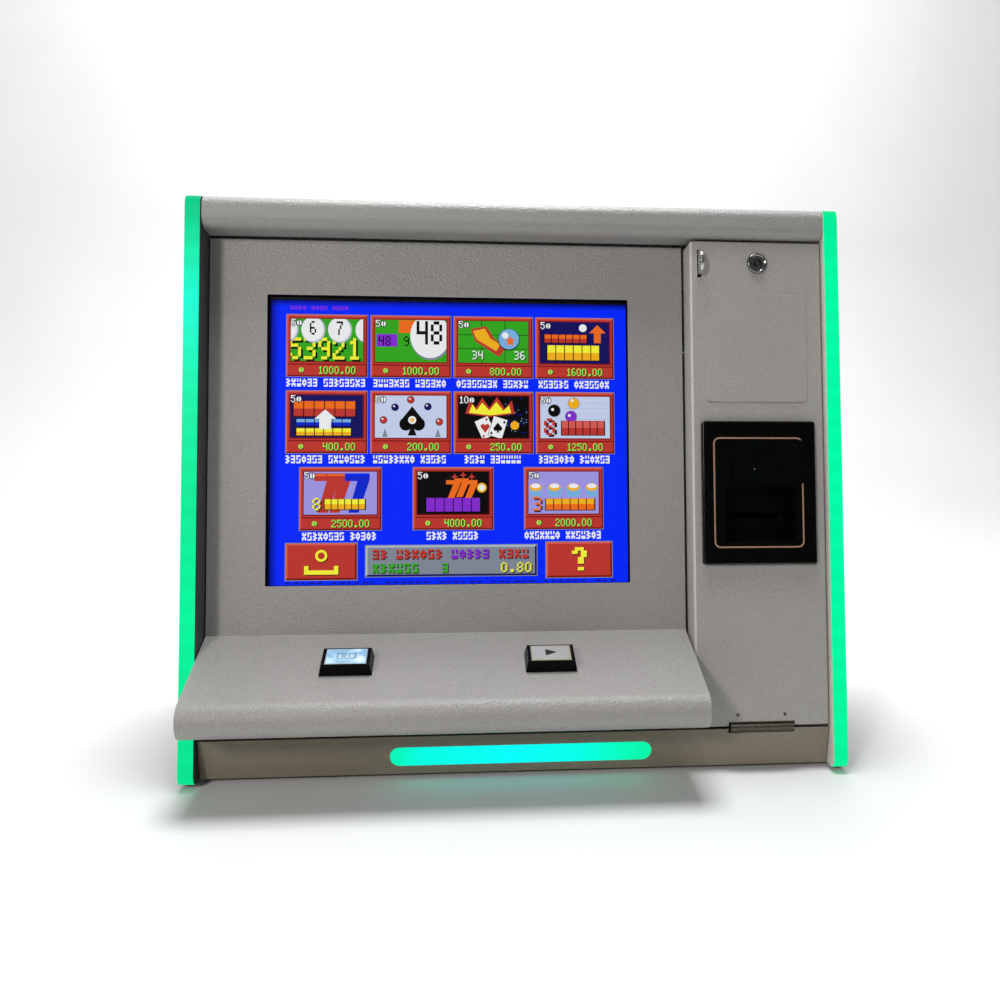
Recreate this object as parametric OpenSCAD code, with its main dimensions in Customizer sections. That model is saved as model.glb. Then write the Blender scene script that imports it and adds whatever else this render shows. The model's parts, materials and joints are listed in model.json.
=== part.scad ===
/* [Cabinet] */
// Width over both side boards
cabinet_w = 674; // [666:2:690]
// Thickness of a side board, which is also the width of its lit edge
side_t = 15.2; // [14:0.2:17]
// Height from the cabinet's underside to its top plate
cabinet_h = 579; // [574:1:586]
// Depth of the cabinet at its underside, from the lit edge to the wall
cabinet_d = 300; // [290:5:360]
// Lean of the whole front away from the player, in degrees
lean = 10; // [8:0.5:12]
// Thickness of the folded sheet steel
sheet = 2; // [1.5:0.25:2]
// Radius of the side boards' front corners
corner_r = 10; // [8:1:14]
// Height of the rubber feet
foot_h = 5; // [4:1:8]

/* [Main door] */
// Depth of the door's face behind the lit edges
door_in = 37.7; // [36:0.1:39]
// Right edge of the door, from the cabinet's middle
door_right = 175.9; // [174:0.1:176.2]
// Height of the crease between the door's face and its deck, along the face
crease_u = 143.5; // [140:0.5:146]
// Slope of the deck below the face's normal, in degrees
deck_angle = 27; // [26:0.5:28]
// Length of the deck's flat from the crease to the nose
deck_len = 114; // [110:1:118]
// Radius of the deck's rounded nose
nose_r = 18; // [16:0.5:19]

/* [Display] */
// Width of the window in the door
window_w = 379; // [378:0.5:382]
// Height of the window in the door
window_h = 303.4; // [302:0.2:306]
// Middle of the window, from the cabinet's middle
window_x = -72.6; // [-74:0.2:-71]
// Middle of the window above the underside, along the face
window_u = 345.3; // [344:0.1:347]

/* [Bill door] */
// Depth of the bill door's face behind the lit edges
bill_in = 8.7; // [8:0.1:10]
// Gap between the two doors
door_gap = 2.8; // [2.4:0.1:3]
// Width of the acceptor's black bezel
bezel_w = 121; // [118:1:122]
// Height of the acceptor's black bezel
bezel_h = 150; // [148:1:152]

/* [Buttons] */
// Width of a button's bezel
button_w = 51; // [50:0.5:52]
// Depth of a button's bezel, up the deck
button_d = 33; // [32:0.5:34]
// Travel of a button's cap
button_travel = 3; // [2:0.5:3]

/* [Hidden] */
$fn = 48;

// Colours
c_body = [0.58, 0.57, 0.55];
c_board = [0.33, 0.34, 0.34];
c_light = [0.0, 0.95, 0.6];
c_steel = [0.72, 0.73, 0.74];
c_black = [0.06, 0.06, 0.07];
c_pcb = [0.05, 0.3, 0.14];
c_copper = [0.72, 0.43, 0.25];

// Half width inside the side boards
inner = cabinet_w / 2 - side_t;

// The nose of the deck, in the face's own plane [up the face, out of the face]
deck_sin = sin(deck_angle);
deck_cos = cos(deck_angle);
nose_top = [crease_u - deck_len * deck_sin, deck_len * deck_cos - door_in];
nose_c = nose_top - nose_r * [deck_cos, deck_sin];
skirt_end = [46.5, -12];
skirt_dist = norm(nose_c - skirt_end);
skirt_dir = atan2(nose_c[0] - skirt_end[0], nose_c[1] - skirt_end[1]) - asin(nose_r / skirt_dist);

// How far a round corner stands proud of the flats that it joins, so that they cross cleanly
blend = 0.01;

// Places in the row frame: the origin is under the middle of the whole machine
nose_front = nose_c[0] * sin(lean) - nose_c[1] * cos(lean) - nose_r - blend;
face_y = -(cabinet_d + nose_front) / 2;
back_y = face_y + cabinet_d;
base_z = foot_h;
top_z = base_z + cabinet_h;
back_inset = 8;
wall_y = back_y - back_inset - sheet;

// Lit edge of a side board
edge_t = 4;
edge_wrap = 10;
tape_w = 10;
tape_t = 1.2;
led_count = 24;

// Bullnose along the top
hood_r = 12;
hood_front_n = -1.5;
hood_c_n = hood_front_n - hood_r;
hood_low_u = 557 + hood_r;
hood_high_u = (cabinet_h - hood_r - hood_c_n * sin(lean)) / cos(lean);
hood_back_n = -36;

// Main door, its top hinge and its window
door_left = -inner + 1;
door_top = 554.8;
flange_n = -56;
main_axis = [553.5, -door_in - sheet - 3.3];
main_knuckle_r = 3;
main_pin_r = 1.5;
main_hinge_x = [-312, 168];
main_knuckles = 13;
window = [window_x - window_w / 2, window_x + window_w / 2,
          window_u - window_h / 2, window_u + window_h / 2];
behind_skin = -door_in - sheet;
gasket_t = 2;
glass_t = 3;
glass_n = behind_skin - gasket_t;
lcd_front = glass_n - glass_t - 0.2;
lcd_w = 396;
lcd_h = 324;
lcd_t = 12;
lcd_active = [376.3, 301.1];
lcd_x = -72.3;
lcd_u = 343;

// Base panel below the doors: its foot, its top and its lamp
base_foot = [22.2 * tan(lean), -22.2];
base_top = [43, -10.5];
base_len = norm(base_top - base_foot);
base_tilt = atan2(base_top[1] - base_foot[1], base_top[0] - base_foot[0]);
base_flange = 22;
base_flange_n = -34;
lamp_w = 267;
lamp_h = 20;
lamp_y = 0.465 * base_len;

// Frame post between the doors
post_x = [160, 192];
post_n = -58;
bolt_u = 440;
bolt_n = -50;
bolt_r = 4;

// Bill door
bill_left = door_right + door_gap;
bill_right = inner - 1;
bill_bottom = 45.4;
bill_top = 554.6;
bill_edge_r = 3;
bill_corner_r = 4.5;
bill_back = -bill_in - sheet;
bill_axis = [44.5, -bill_in];
bill_knuckle_r = 3.5;
bill_pin_r = 1.75;
bill_hinge_x = [215, 282];
bill_knuckles = 5;
rivet_x = [223, 273];
rivet_u = 57.4;
rivet_r = 1.1;
plate_x = [193.9, 303.9];
plate_u = [383, 497.4];
plate_r = 6;
plate_out = 0.6;
bezel_x = 248.5;
bezel_u = 287.4;
bezel_out = 7;
bezel_corner_r = 4;
trim_t = 0.5;
trim_w = 1.6;
mouth_x = [201, 293.5];
mouth_u = [231.5, 343.5];
staple_x = 189;
staple_u = 530;
staple_out = 8;
lock_x = 251;
lock_u = 531;
lock_r = 9.4;
plug_r = 6;
lock_tail_n = -36.3;
cash_x = [200, 298];
cash_u = [64, 194];
cash_n = [-116, -24];
cash_wall = 1.5;

// Buttons on the deck
button_s = 57.5;
ticket_x = -173;
play_x = 27;
barrel_r = 12;
surround_h = 11.4;
surround_wall = 1.4;
surround_side = 3.1;
cap_w = 39.6;
cap_d = 25.8;
cap_gap = 0.3;
cap_floor = 4;

// Inside of the cabinet
fan_x = -245;
fan_z = base_z + 455;
fan_size = 92;
fan_t = 25;
inlet_x = -215;
inlet_z = base_z + 105;
board_x = [-150, 94];
board_z = [base_z + 215, base_z + 415];
board_gap = 10;
speaker_x = 70;
speaker_y = face_y + 190;
wall_holes = [270, 60, 520];
bar_holes = [250, 110, 250];
clearance_hole_r = 4.25;
foot_r = 15;
foot_place = [290, 62, 276];
board_screw_z = [60, 200, 340, 480];
eps = 0.01;

// ---------- frames and shared shapes ----------

// The front face's frame: X to the right, Y up the face, Z out of the face
module on_face() {
    translate([0, face_y, base_z]) rotate([90 - lean, 0, 0]) children();
}

// The deck's frame: Y up the deck towards the crease, Z out of the deck
module on_deck(x, s) {
    on_face() translate([0, crease_u, -door_in]) rotate([deck_angle - 90, 0, 0])
        translate([x, -s, 0]) children();
}

// The base panel's frame: Y up the panel from its foot, Z out of the panel
module on_base() {
    on_face() translate([0, base_foot[0], base_foot[1]]) rotate([base_tilt, 0, 0]) children();
}

// A box between two values on each axis
module block(x, y, z) {
    translate([x[0], y[0], z[0]]) cube([x[1] - x[0], y[1] - y[0], z[1] - z[0]]);
}

// A flat outline in Y and Z, drawn out along X
module along_x(x) {
    translate([x[0], 0, 0]) rotate([90, 0, 90]) linear_extrude(x[1] - x[0]) children();
}

// A flat outline in X and Z, drawn out along Y
module along_y(y) {
    translate([0, y[1], 0]) rotate([90, 0, 0]) linear_extrude(y[1] - y[0]) children();
}

module rod_x(x, y, z, r) {
    translate([x[0], y, z]) rotate([0, 90, 0]) cylinder(r = r, h = x[1] - x[0]);
}

module rod_z(x, y, z, r) {
    translate([x, y, z[0]]) cylinder(r = r, h = z[1] - z[0]);
}

// A rectangle with round corners
module round_rect(x, y, r) {
    translate([x[0] + r, y[0]]) square([x[1] - x[0] - 2 * r, y[1] - y[0]]);
    translate([x[0], y[0] + r]) square([x[1] - x[0], y[1] - y[0] - 2 * r]);
    for (cx = [x[0] + r, x[1] - r], cy = [y[0] + r, y[1] - r])
        translate([cx, cy]) circle(r);
}

module round_block(x, y, z, r) {
    translate([0, 0, z[0]]) linear_extrude(z[1] - z[0]) round_rect(x, y, r);
}

// A slot with round ends, w wide along X and h high
module slot(w, h) {
    translate([h / 2 - w / 2, -h / 2]) square([w - h, h]);
    for (x = [-1, 1] * (w - h) / 2) translate([x, 0]) circle(h / 2);
}

// A block that tapers from its base to its top
module tapered(w0, d0, z0, w1, d1, z1) {
    hull() {
        translate([-w0 / 2, -d0 / 2, z0]) cube([w0, d0, eps]);
        translate([-w1 / 2, -d1 / 2, z1 - eps]) cube([w1, d1, eps]);
    }
}

// A point of the face's plane as [y, z] in the row frame
function row_point(p) = [
    face_y + p[0] * sin(lean) - p[1] * cos(lean),
    base_z + p[0] * cos(lean) + p[1] * sin(lean)
];

// A point of the deck, s along it from the crease and h above it, as [up, out] of the face
function deck_point(s, h) = [
    crease_u - s * deck_sin + h * deck_cos,
    s * deck_cos + h * deck_sin - door_in
];

// Every second stretch of a hinge's barrel, from the first or the second one
module knuckles(span, count, first, axis, r, pin_r) {
    pitch = (span[1] - span[0]) / count;
    for (i = [first:2:count - 1])
        difference() {
            rod_x([span[0] + i * pitch + 0.15, span[0] + (i + 1) * pitch - 0.15], axis[0], axis[1], r);
            rod_x([span[0], span[1]], axis[0], axis[1], pin_r + 0.05);
        }
}

// The strips that join every second stretch of a barrel to its leaf
module knuckle_tabs(span, count, first, y, z) {
    pitch = (span[1] - span[0]) / count;
    for (i = [first:2:count - 1])
        block([span[0] + i * pitch + 0.15, span[0] + (i + 1) * pitch - 0.15], y, z);
}

// ---------- side boards and their lit edges ----------

// A side board's outline in [y, z], inset by some depth
module side_outline(inset) {
    r = corner_r - inset;
    low = [face_y + corner_r * tan(lean) + corner_r / cos(lean), base_z + corner_r];
    high = [face_y + (cabinet_h - corner_r) * tan(lean) + corner_r / cos(lean), top_z - corner_r];
    ahead = r * [-cos(lean), sin(lean)];
    polygon([
        [low[0], low[1] - r], [back_y, low[1] - r], [back_y, high[1] + r],
        [high[0], high[1] + r], high + ahead, low + ahead
    ]);
    for (c = [low, high]) translate(c) circle(r);
}

// The part of space that a lit edge fills, for one side (-1 left, 1 right)
module edge_shell(side) {
    x = side > 0 ? [inner, inner + side_t] : [-inner - side_t, -inner];
    intersection() {
        difference() {
            along_x(x) side_outline(0);
            along_x([x[0] - 1, x[1] + 1]) side_outline(edge_t);
        }
        on_face() block([x[0] - 2, x[1] + 2], [-40, cabinet_h + 60], [-edge_wrap, 20]);
    }
}

module tape_groove(side, depth) {
    x = side * (inner + side_t / 2);
    on_face() block([x - tape_w / 2, x + tape_w / 2], [24, cabinet_h - 20], [-edge_t - depth, -edge_t]);
}

module side_board(side) {
    x = side > 0 ? [inner, inner + side_t] : [-inner - side_t, -inner];
    difference() {
        along_x(x) side_outline(0);
        edge_shell(side);
        tape_groove(side, 3.5);
        panel_screw_bores(side, 1.6);
    }
}

module side_board_left() { color(c_board) side_board(-1); }
module side_board_right() { color(c_board) side_board(1); }
module edge_diffuser_left() { color(c_light) edge_shell(-1); }
module edge_diffuser_right() { color(c_light) edge_shell(1); }

module led_tape(side) {
    x = side * (inner + side_t / 2);
    span = cabinet_h - 50;
    on_face() {
        block([x - 4, x + 4], [26, cabinet_h - 22], [-edge_t - 3.5, -edge_t - 3.5 + tape_t]);
        for (i = [0:led_count - 1])
            translate([x, 30 + (i + 0.5) * (span - 6) / led_count, 0])
                block([-2.5, 2.5], [-2.5, 2.5], [-edge_t - 3.5 + tape_t, -edge_t - 0.7]);
    }
}
module edge_led_tape_left() { color("ivory") led_tape(-1); }
module edge_led_tape_right() { color("ivory") led_tape(1); }

// Screws through the back panel's side flanges and the one ahead of each door
module panel_screw_places(side) {
    for (z = board_screw_z)
        translate([side * (inner - sheet), wall_y - 6, base_z + z]) rotate([0, side * 90, 0]) children();
    on_face() translate([side * (inner + 1.25), 304, -24]) rotate([0, side * 90, 0]) children();
}

module panel_screw_bores(side, r) {
    panel_screw_places(side) {
        translate([0, 0, -0.5]) cylinder(r = r, h = 13);
        translate([0, 0, -1.4]) cylinder(r = 3.2, h = 1.4);
    }
}

module panel_screws() {
    color(c_steel) for (side = [-1, 1]) panel_screw_places(side) difference() {
        union() {
            translate([0, 0, -0.5]) cylinder(r = 1.5, h = 12.4);
            translate([0, 0, -1.2]) cylinder(r = 3, h = 1.15);
        }
        block([-2.2, 2.2], [-0.4, 0.4], [-1.3, -0.7]);
        block([-0.4, 0.4], [-2.2, 2.2], [-1.3, -0.7]);
    }
}

// ---------- folded steel of the cabinet ----------

// The bullnose's outline in [y, z], inset by some depth
module hood_outline(inset) {
    r = hood_r - inset;
    low = row_point([hood_low_u, hood_c_n]);
    high = row_point([hood_high_u, hood_c_n]);
    ahead = r * [-cos(lean), sin(lean)];
    down = r * [-sin(lean), -cos(lean)];
    back_low = row_point([557 + inset, hood_back_n + inset]);
    back_high_y = back_low[0] + (top_z - inset - back_low[1]) * tan(lean);
    polygon([
        high + [0, r], [back_high_y, top_z - inset], back_low, low + down, low + ahead, high + ahead
    ]);
    for (c = [low, high]) translate(c) circle(r + blend);
}

// The bullnose is a closed box section, and the top plate runs back from it
module top_hood() {
    x = [-inner + 0.6, inner - 0.6];
    front = row_point([hood_high_u, hood_back_n])[0];
    color(c_body) {
        difference() {
            along_x(x) hood_outline(0);
            along_x([x[0] - 1, x[1] + 1]) hood_outline(sheet);
        }
        block(x, [front - 6, wall_y], [top_z - sheet, top_z]);
        block(x, [wall_y - sheet, wall_y], [top_z - 16, top_z]);
    }
}

module back_panel() {
    y = [wall_y, wall_y + sheet];
    color(c_body) difference() {
        union() {
            block([-inner, inner], y, [base_z + sheet, top_z]);
            for (side = [-1, 1])
                block(side > 0 ? [inner - sheet, inner] : [-inner, -inner + sheet],
                      [wall_y - 14, wall_y], [base_z + sheet, top_z - 17]);
        }
        for (x = [-1, 1] * wall_holes[0], z = [wall_holes[1], wall_holes[2]])
            translate([x, wall_y - 1, base_z + z]) rotate([-90, 0, 0])
                cylinder(r = clearance_hole_r, h = sheet + 2);
        translate([fan_x, wall_y - 1, fan_z]) rotate([-90, 0, 0]) cylinder(r = 43, h = sheet + 2);
        block([inlet_x - 13.8, inlet_x + 13.8], [wall_y - 1, wall_y + sheet + 1],
              [inlet_z - 23.8, inlet_z + 23.8]);
        for (i = [0:7])
            translate([0, wall_y + sheet + 1, top_z - 50 - 9 * i]) rotate([90, 0, 0])
                linear_extrude(sheet + 2) translate([-30, 0]) slot(150, 4.2);
        panel_flange_bores(1.7);
    }
}

module panel_flange_bores(r) {
    for (side = [-1, 1], z = board_screw_z)
        translate([side * (inner - sheet - 1), wall_y - 6, base_z + z]) rotate([0, side * 90, 0])
            cylinder(r = r, h = sheet + 2);
}

module bottom_panel() {
    y0 = row_point(base_foot)[0] + base_flange;
    color(c_body) difference() {
        block([-inner, inner], [y0, wall_y + sheet], [base_z, base_z + sheet]);
        for (x = [-1, 1] * bar_holes[0], y = [bar_holes[1], bar_holes[2]])
            rod_z(x, face_y + y, [base_z - 1, base_z + sheet + 1], clearance_hole_r);
        for (i = [-3:3])
            translate([speaker_x, speaker_y + 8 * i, base_z - 1]) linear_extrude(sheet + 2)
                slot(54 - 4 * abs(i), 3);
        for (x = [-1, 1] * foot_place[0], y = [foot_place[1], foot_place[2]])
            rod_z(x, face_y + y, [base_z - 1, base_z + sheet + 1], 3.2);
    }
}

module rubber_feet() {
    color(c_black) for (x = [-1, 1] * foot_place[0], y = [foot_place[1], foot_place[2]]) {
        rod_z(x, face_y + y, [0, base_z], foot_r);
        rod_z(x, face_y + y, [base_z - eps, base_z + sheet], 3);
        rod_z(x, face_y + y, [base_z + sheet, base_z + sheet + 3], 5);
    }
}

// A point of the base panel's inner face, as [up, out] of the face, k up from its foot
function base_inner(k) = base_foot + sheet * [sin(base_tilt), -cos(base_tilt)]
    + k * [cos(base_tilt), sin(base_tilt)];

// The front below the doors: a leaning sheet with a flange at its top and at its foot
module base_front_panel() {
    foot_row = row_point(base_foot);
    k_top = (base_top[0] - sheet - base_inner(0)[0]) / cos(base_tilt);
    k_low = (sheet + base_z - row_point(base_inner(0))[1]) / cos(base_tilt - lean);
    color(c_body) difference() {
        along_x([-inner + 1, inner - 1]) polygon([
            foot_row, row_point(base_top),
            row_point([base_top[0], base_flange_n]), row_point([base_top[0] - sheet, base_flange_n]),
            row_point(base_inner(k_top)), row_point(base_inner(k_low)),
            [foot_row[0] + base_flange, base_z + sheet], [foot_row[0] + base_flange, base_z]
        ]);
        on_base() translate([0, lamp_y, -sheet - 1]) linear_extrude(sheet + 2)
            slot(lamp_w, lamp_h);
        on_face() block([bill_hinge_x[0] - 1.5, bill_hinge_x[1] + 1.5], [38.6, 50], [-16, 5]);
    }
}

module base_light_lens() {
    color(c_light) on_base() translate([0, lamp_y, 0]) {
        translate([0, 0, -sheet - 1]) linear_extrude(sheet + 1.8) slot(lamp_w - 0.4, lamp_h - 0.4);
        translate([0, 0, -sheet - 2]) linear_extrude(1.97) slot(lamp_w + 8, lamp_h + 8);
        for (x = [-1, 1] * (lamp_w / 2 - 2)) rod_z(x, 0, [-sheet - 4.4, -sheet - 2], 3);
    }
}

module base_led_board() {
    color("white") on_base() translate([0, lamp_y, 0]) {
        block([-lamp_w / 2 - 4, lamp_w / 2 + 4], [-7, 7], [-sheet - 6, -sheet - 4.4]);
        for (i = [-9:9]) block([13 * i - 2.5, 13 * i + 2.5], [-2.5, 2.5], [-sheet - 4.4, -sheet - 3]);
    }
}

// The post that both doors close against
module frame_post() {
    color(c_body) difference() {
        on_face() {
            block(post_x, [2, 576], [post_n - sheet, post_n]);
            block([post_x[0], post_x[0] + sheet], [2, 576], [post_n - 20, post_n]);
            block([post_x[1] - sheet, post_x[1]], [2, 576], [post_n - 20, post_n]);
        }
        block([0, inner], [face_y, back_y], [base_z - 60, base_z + sheet]);
    }
}

// The angle under the hood that carries the main door's hinge
module header_rail() {
    n = main_axis[1] - main_knuckle_r;
    color(c_body) on_face() {
        block([-inner, 164], [558.5, 578], [n - sheet, n]);
        block([-inner, post_x[1]], [576, 578], [-80, n - sheet]);
    }
}

module padlock_staple() {
    color(c_steel) on_face() difference() {
        union() {
            block([staple_x - 1.5, staple_x + 1.5], [staple_u - 12.5, staple_u + 12.5],
                  [post_n, staple_out - 12.5]);
            rod_x([staple_x - 1.5, staple_x + 1.5], staple_u, staple_out - 12.5, 12.5 + blend);
            block([staple_x - 12, staple_x + 1.5], [staple_u - 12.5, staple_u + 12.5],
                  [post_n, post_n + 3]);
        }
        rod_x([staple_x - 3, staple_x + 3], staple_u, 0, 4);
    }
}

module slide_bolt_body() {
    color(c_steel) on_face() difference() {
        union() {
            block([180, post_x[1]], [bolt_u - 12, bolt_u + 12], [post_n, post_n + sheet]);
            for (x = [181, 188])
                block([x, x + 4], [bolt_u - 7, bolt_u + 7], [post_n + sheet, bolt_n + 6]);
        }
        rod_x([179, 194], bolt_u, bolt_n, bolt_r + 0.06);
    }
}

module slide_bolt() {
    color(c_steel) on_face() {
        rod_x([178, 203], bolt_u, bolt_n, bolt_r);
        rod_x([203, 210], bolt_u, bolt_n, 7);
    }
}

// ---------- what the cabinet holds ----------

module power_supply() {
    y = [face_y + 150, face_y + 248];
    z = [base_z + sheet, base_z + sheet + 42];
    color(c_steel) difference() {
        block([-215, -16], y, z);
        for (i = [0:13], j = [0:3])
            rod_z(-200 + 13 * i, y[0] + 20 + 18 * j, [z[1] - 1, z[1] + 1], 3);
        block([-24, -15], [y[0] + 8, y[1] - 8], [z[0] + 12, z[0] + 30]);
    }
}

module game_board() {
    y = wall_y - board_gap - 1.6;
    color(c_pcb) {
        block(board_x, [y, y + 1.6], board_z);
        block([-60, 0], [y - 30, y], [board_z[0] + 90, board_z[0] + 150]);
        for (i = [0:8]) block([-58 + 7 * i, -56 + 7 * i], [y - 38, y - 30],
                              [board_z[0] + 90, board_z[0] + 150]);
        for (i = [0:1]) block([20 + 12 * i, 28 + 12 * i], [y - 28, y],
                              [board_z[0] + 50, board_z[0] + 180]);
        for (i = [0:5]) block([-140 + 22 * i, -124 + 22 * i], [y - 12, y],
                              [board_z[0], board_z[0] + 14]);
        for (i = [0:2]) block([-140, -116], [y - 3, y],
                              [board_z[0] + 50 + 40 * i, board_z[0] + 74 + 40 * i]);
    }
}

module board_standoffs() {
    color(c_steel) for (x = [board_x[0] + 10, -30, board_x[1] - 8], z = [board_z[0] + 26, board_z[1] - 8])
        translate([x, wall_y - board_gap, z]) rotate([-90, 0, 0]) cylinder(r = 3, h = board_gap);
}

module speaker() {
    z = base_z + sheet;
    color(c_black) translate([speaker_x, speaker_y, z]) {
        difference() {
            linear_extrude(2) round_rect([-39, 39], [-39, 39], 6);
            rod_z(0, 0, [-1, 3], 33);
        }
        rotate_extrude() polygon([
            [33, 0], [36, 0], [36, 3], [20, 18], [20, 32], [0, 32], [0, 14], [14, 14], [31, 2]
        ]);
    }
}

module fan_frame() {
    color(c_black) translate([fan_x, wall_y, fan_z]) rotate([90, 0, 0]) difference() {
        union() {
            difference() {
                linear_extrude(fan_t) round_rect([-1, 1] * fan_size / 2, [-1, 1] * fan_size / 2, 5);
                translate([0, 0, -1]) cylinder(r = 43.5, h = fan_t + 2);
            }
            translate([0, 0, fan_t - 3]) cylinder(r = 19, h = 3);
            for (a = [45:90:315]) rotate([0, 0, a]) block([17, 45], [-2, 2], [fan_t - 3, fan_t]);
        }
        for (x = [-41.2, 41.2], y = [-41.2, 41.2]) rod_z(x, y, [-1, fan_t + 1], 2.2);
    }
}

module fan_rotor() {
    color([0.12, 0.12, 0.13]) translate([fan_x, wall_y, fan_z]) rotate([90, 0, 0]) {
        rod_z(0, 0, [3, fan_t - 4], 18);
        for (a = [0:6]) rotate([0, 0, a * 360 / 7]) intersection() {
            translate([0, 0, 12]) rotate([40, 0, 0]) block([16, 42], [-12, 12], [-0.8, 0.8]);
            rod_z(0, 0, [3.5, fan_t - 4.5], 41.5);
        }
    }
}

// The wire guard stands in the recess behind the back panel
module fan_guard() {
    color(c_steel) translate([fan_x, wall_y + sheet, fan_z]) rotate([-90, 0, 0]) {
        for (r = [14, 24, 34, 44])
            translate([0, 0, 3]) rotate_extrude() translate([r, 0]) circle(0.8, $fn = 16);
        for (a = [45, 135]) rotate([0, 0, a]) {
            rod_x([-58, 58], 0, 1.6, 0.9);
            for (x = [-57, 57]) rod_z(x, 0, [0, 1.8], 3.4);
        }
    }
}

// Mains inlet with its switch in one housing
module power_inlet() {
    color(c_black) translate([inlet_x, wall_y + sheet, inlet_z]) rotate([-90, 0, 0]) difference() {
        union() {
            round_block([-17, 17], [-27, 27], [0, 2.5], 3);
            block([-13.5, 13.5], [-23.5, 23.5], [-30, 0]);
        }
        round_block([-12, 12], [2.5, 19.5], [-16, 3], 3);
        block([-10.3, 10.3], [-20, -4.5], [-12, 3]);
    }
    color("silver") translate([inlet_x, wall_y + sheet, inlet_z]) rotate([-90, 0, 0]) {
        for (x = [-7, 7]) block([x - 2, x + 2], [8.5, 9.5], [-16.1, -3]);
        block([-2, 2], [13, 14], [-16.1, -3]);
    }
}

module power_rocker() {
    color([0.5, 0.05, 0.04]) translate([inlet_x, wall_y + sheet, inlet_z + 12.25])
        rotate([-90, 0, 0]) intersection() {
            difference() {
                rod_x([-9.8, 9.8], 0, -3, 7);
                rod_x([-11, 11], 0, 8.6, 8);
            }
            block([-10, 10], [-7, 7], [-9, 3.6]);
        }
}

// ---------- main door ----------

module main_hinge_frame_leaf() {
    n = main_axis[1] - main_knuckle_r;
    color(c_steel) on_face() {
        block(main_hinge_x, [556.9, 575.5], [n, n + 1.2]);
        knuckle_tabs(main_hinge_x, main_knuckles, 1, [553.5, 557], [n, n + 1.2]);
        knuckles(main_hinge_x, main_knuckles, 1, main_axis, main_knuckle_r, main_pin_r);
    }
}

module main_hinge_door_leaf() {
    n = behind_skin;
    color(c_steel) on_face() {
        block(main_hinge_x, [522, 550.1], [n - 1.2, n]);
        knuckle_tabs(main_hinge_x, main_knuckles, 0, [550, 553.5], [n - 1.2, n - 0.25]);
        knuckles(main_hinge_x, main_knuckles, 0, main_axis, main_knuckle_r, main_pin_r);
    }
}

module main_hinge_pin() {
    color(c_steel) on_face() rod_x(main_hinge_x, main_axis[0], main_axis[1], main_pin_r);
}

// The door's outline in [up, out] of the face, inset by some depth, back to some depth
module door_outline(inset, back) {
    r = nose_r - inset;
    bend = inset * (deck_sin - 1) / deck_cos;
    skirt_out = r * [-cos(skirt_dir), sin(skirt_dir)];
    heel = [skirt_end[0] + inset, skirt_end[1]];
    polygon([
        [door_top + inset, -door_in - inset], deck_point(bend, -inset), deck_point(deck_len, -inset),
        nose_c, nose_c + skirt_out, heel, [heel[0], back], [door_top + inset, back]
    ]);
    translate(nose_c) circle(r + blend);
}

module main_door_panel() {
    color(c_body) difference() {
        on_face() {
            difference() {
                along_x([door_left, door_right]) door_outline(0, flange_n + 14);
                along_x([door_left - 1, door_right + 1]) door_outline(sheet, flange_n - 20);
            }
            for (x = [door_left, door_right - sheet])
                along_x([x, x + sheet]) door_outline(0, flange_n);
        }
        on_face() translate([0, 0, -door_in - sheet - 1]) linear_extrude(sheet + 2)
            round_rect([window[0], window[1]], [window[2], window[3]], 1);
        for (x = [ticket_x, play_x]) on_deck(x, button_s) rod_z(0, 0, [-sheet - 1, 1], barrel_r + 0.2);
        on_face() rod_x([door_right - sheet - 1, door_right + 1], bolt_u, bolt_n, bolt_r + 3);
    }
}

module screen_gasket() {
    color(c_black) on_face() difference() {
        block([window[0] - 14, window[1] + 14], [window[2] - 14, window[3] + 14], [glass_n, behind_skin]);
        block([window[0] + 0.6, window[1] - 0.6], [window[2] + 0.6, window[3] - 0.6],
              [glass_n - 1, behind_skin + 1]);
    }
}

module touch_glass() {
    color([0.7, 0.8, 0.85, 0.4]) on_face()
        block([window[0] - 12, window[1] + 12], [window[2] - 12, window[3] + 12],
              [glass_n - glass_t, glass_n]);
}

module lcd_panel() {
    x = [lcd_x - lcd_w / 2, lcd_x + lcd_w / 2];
    u = [lcd_u - lcd_h / 2, lcd_u + lcd_h / 2];
    color([0.1, 0.12, 0.3]) on_face() difference() {
        block(x, u, [lcd_front - lcd_t, lcd_front]);
        block([lcd_x - lcd_active[0] / 2, lcd_x + lcd_active[0] / 2],
              [lcd_u - lcd_active[1] / 2, lcd_u + lcd_active[1] / 2], [lcd_front - 1, lcd_front + 1]);
    }
}

// Folded clips that press the display against the door
module lcd_brackets() {
    back = lcd_front - lcd_t;
    color(c_steel) on_face() for (side = [0, 1], u = [[205, 265], [425, 485]])
        translate([side == 0 ? window[0] - 15 : window[1] + 15, 0, 0]) mirror([1 - side, 0, 0]) {
            block([0, sheet], u, [back - sheet, behind_skin]);
            block([0, 18], u, [behind_skin - sheet, behind_skin]);
            block([-24, sheet], u, [back - sheet, back]);
        }
}

module lcd_board() {
    back = lcd_front - lcd_t;
    color(c_pcb) on_face() {
        block([-140, -20], [280, 370], [back - 9.6, back - 8]);
        for (x = [-134, -26], u = [286, 364]) rod_z(x, u, [back - 8, back], 3);
        block([-120, -96], [280, 296], [back - 21, back - 9.6]);
        block([-80, -52], [280, 296], [back - 21, back - 9.6]);
        block([-100, -72], [318, 346], [back - 13, back - 9.6]);
        block([-132, -126], [310, 350], [back - 17, back - 9.6]);
    }
}

// ---------- push buttons ----------

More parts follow.
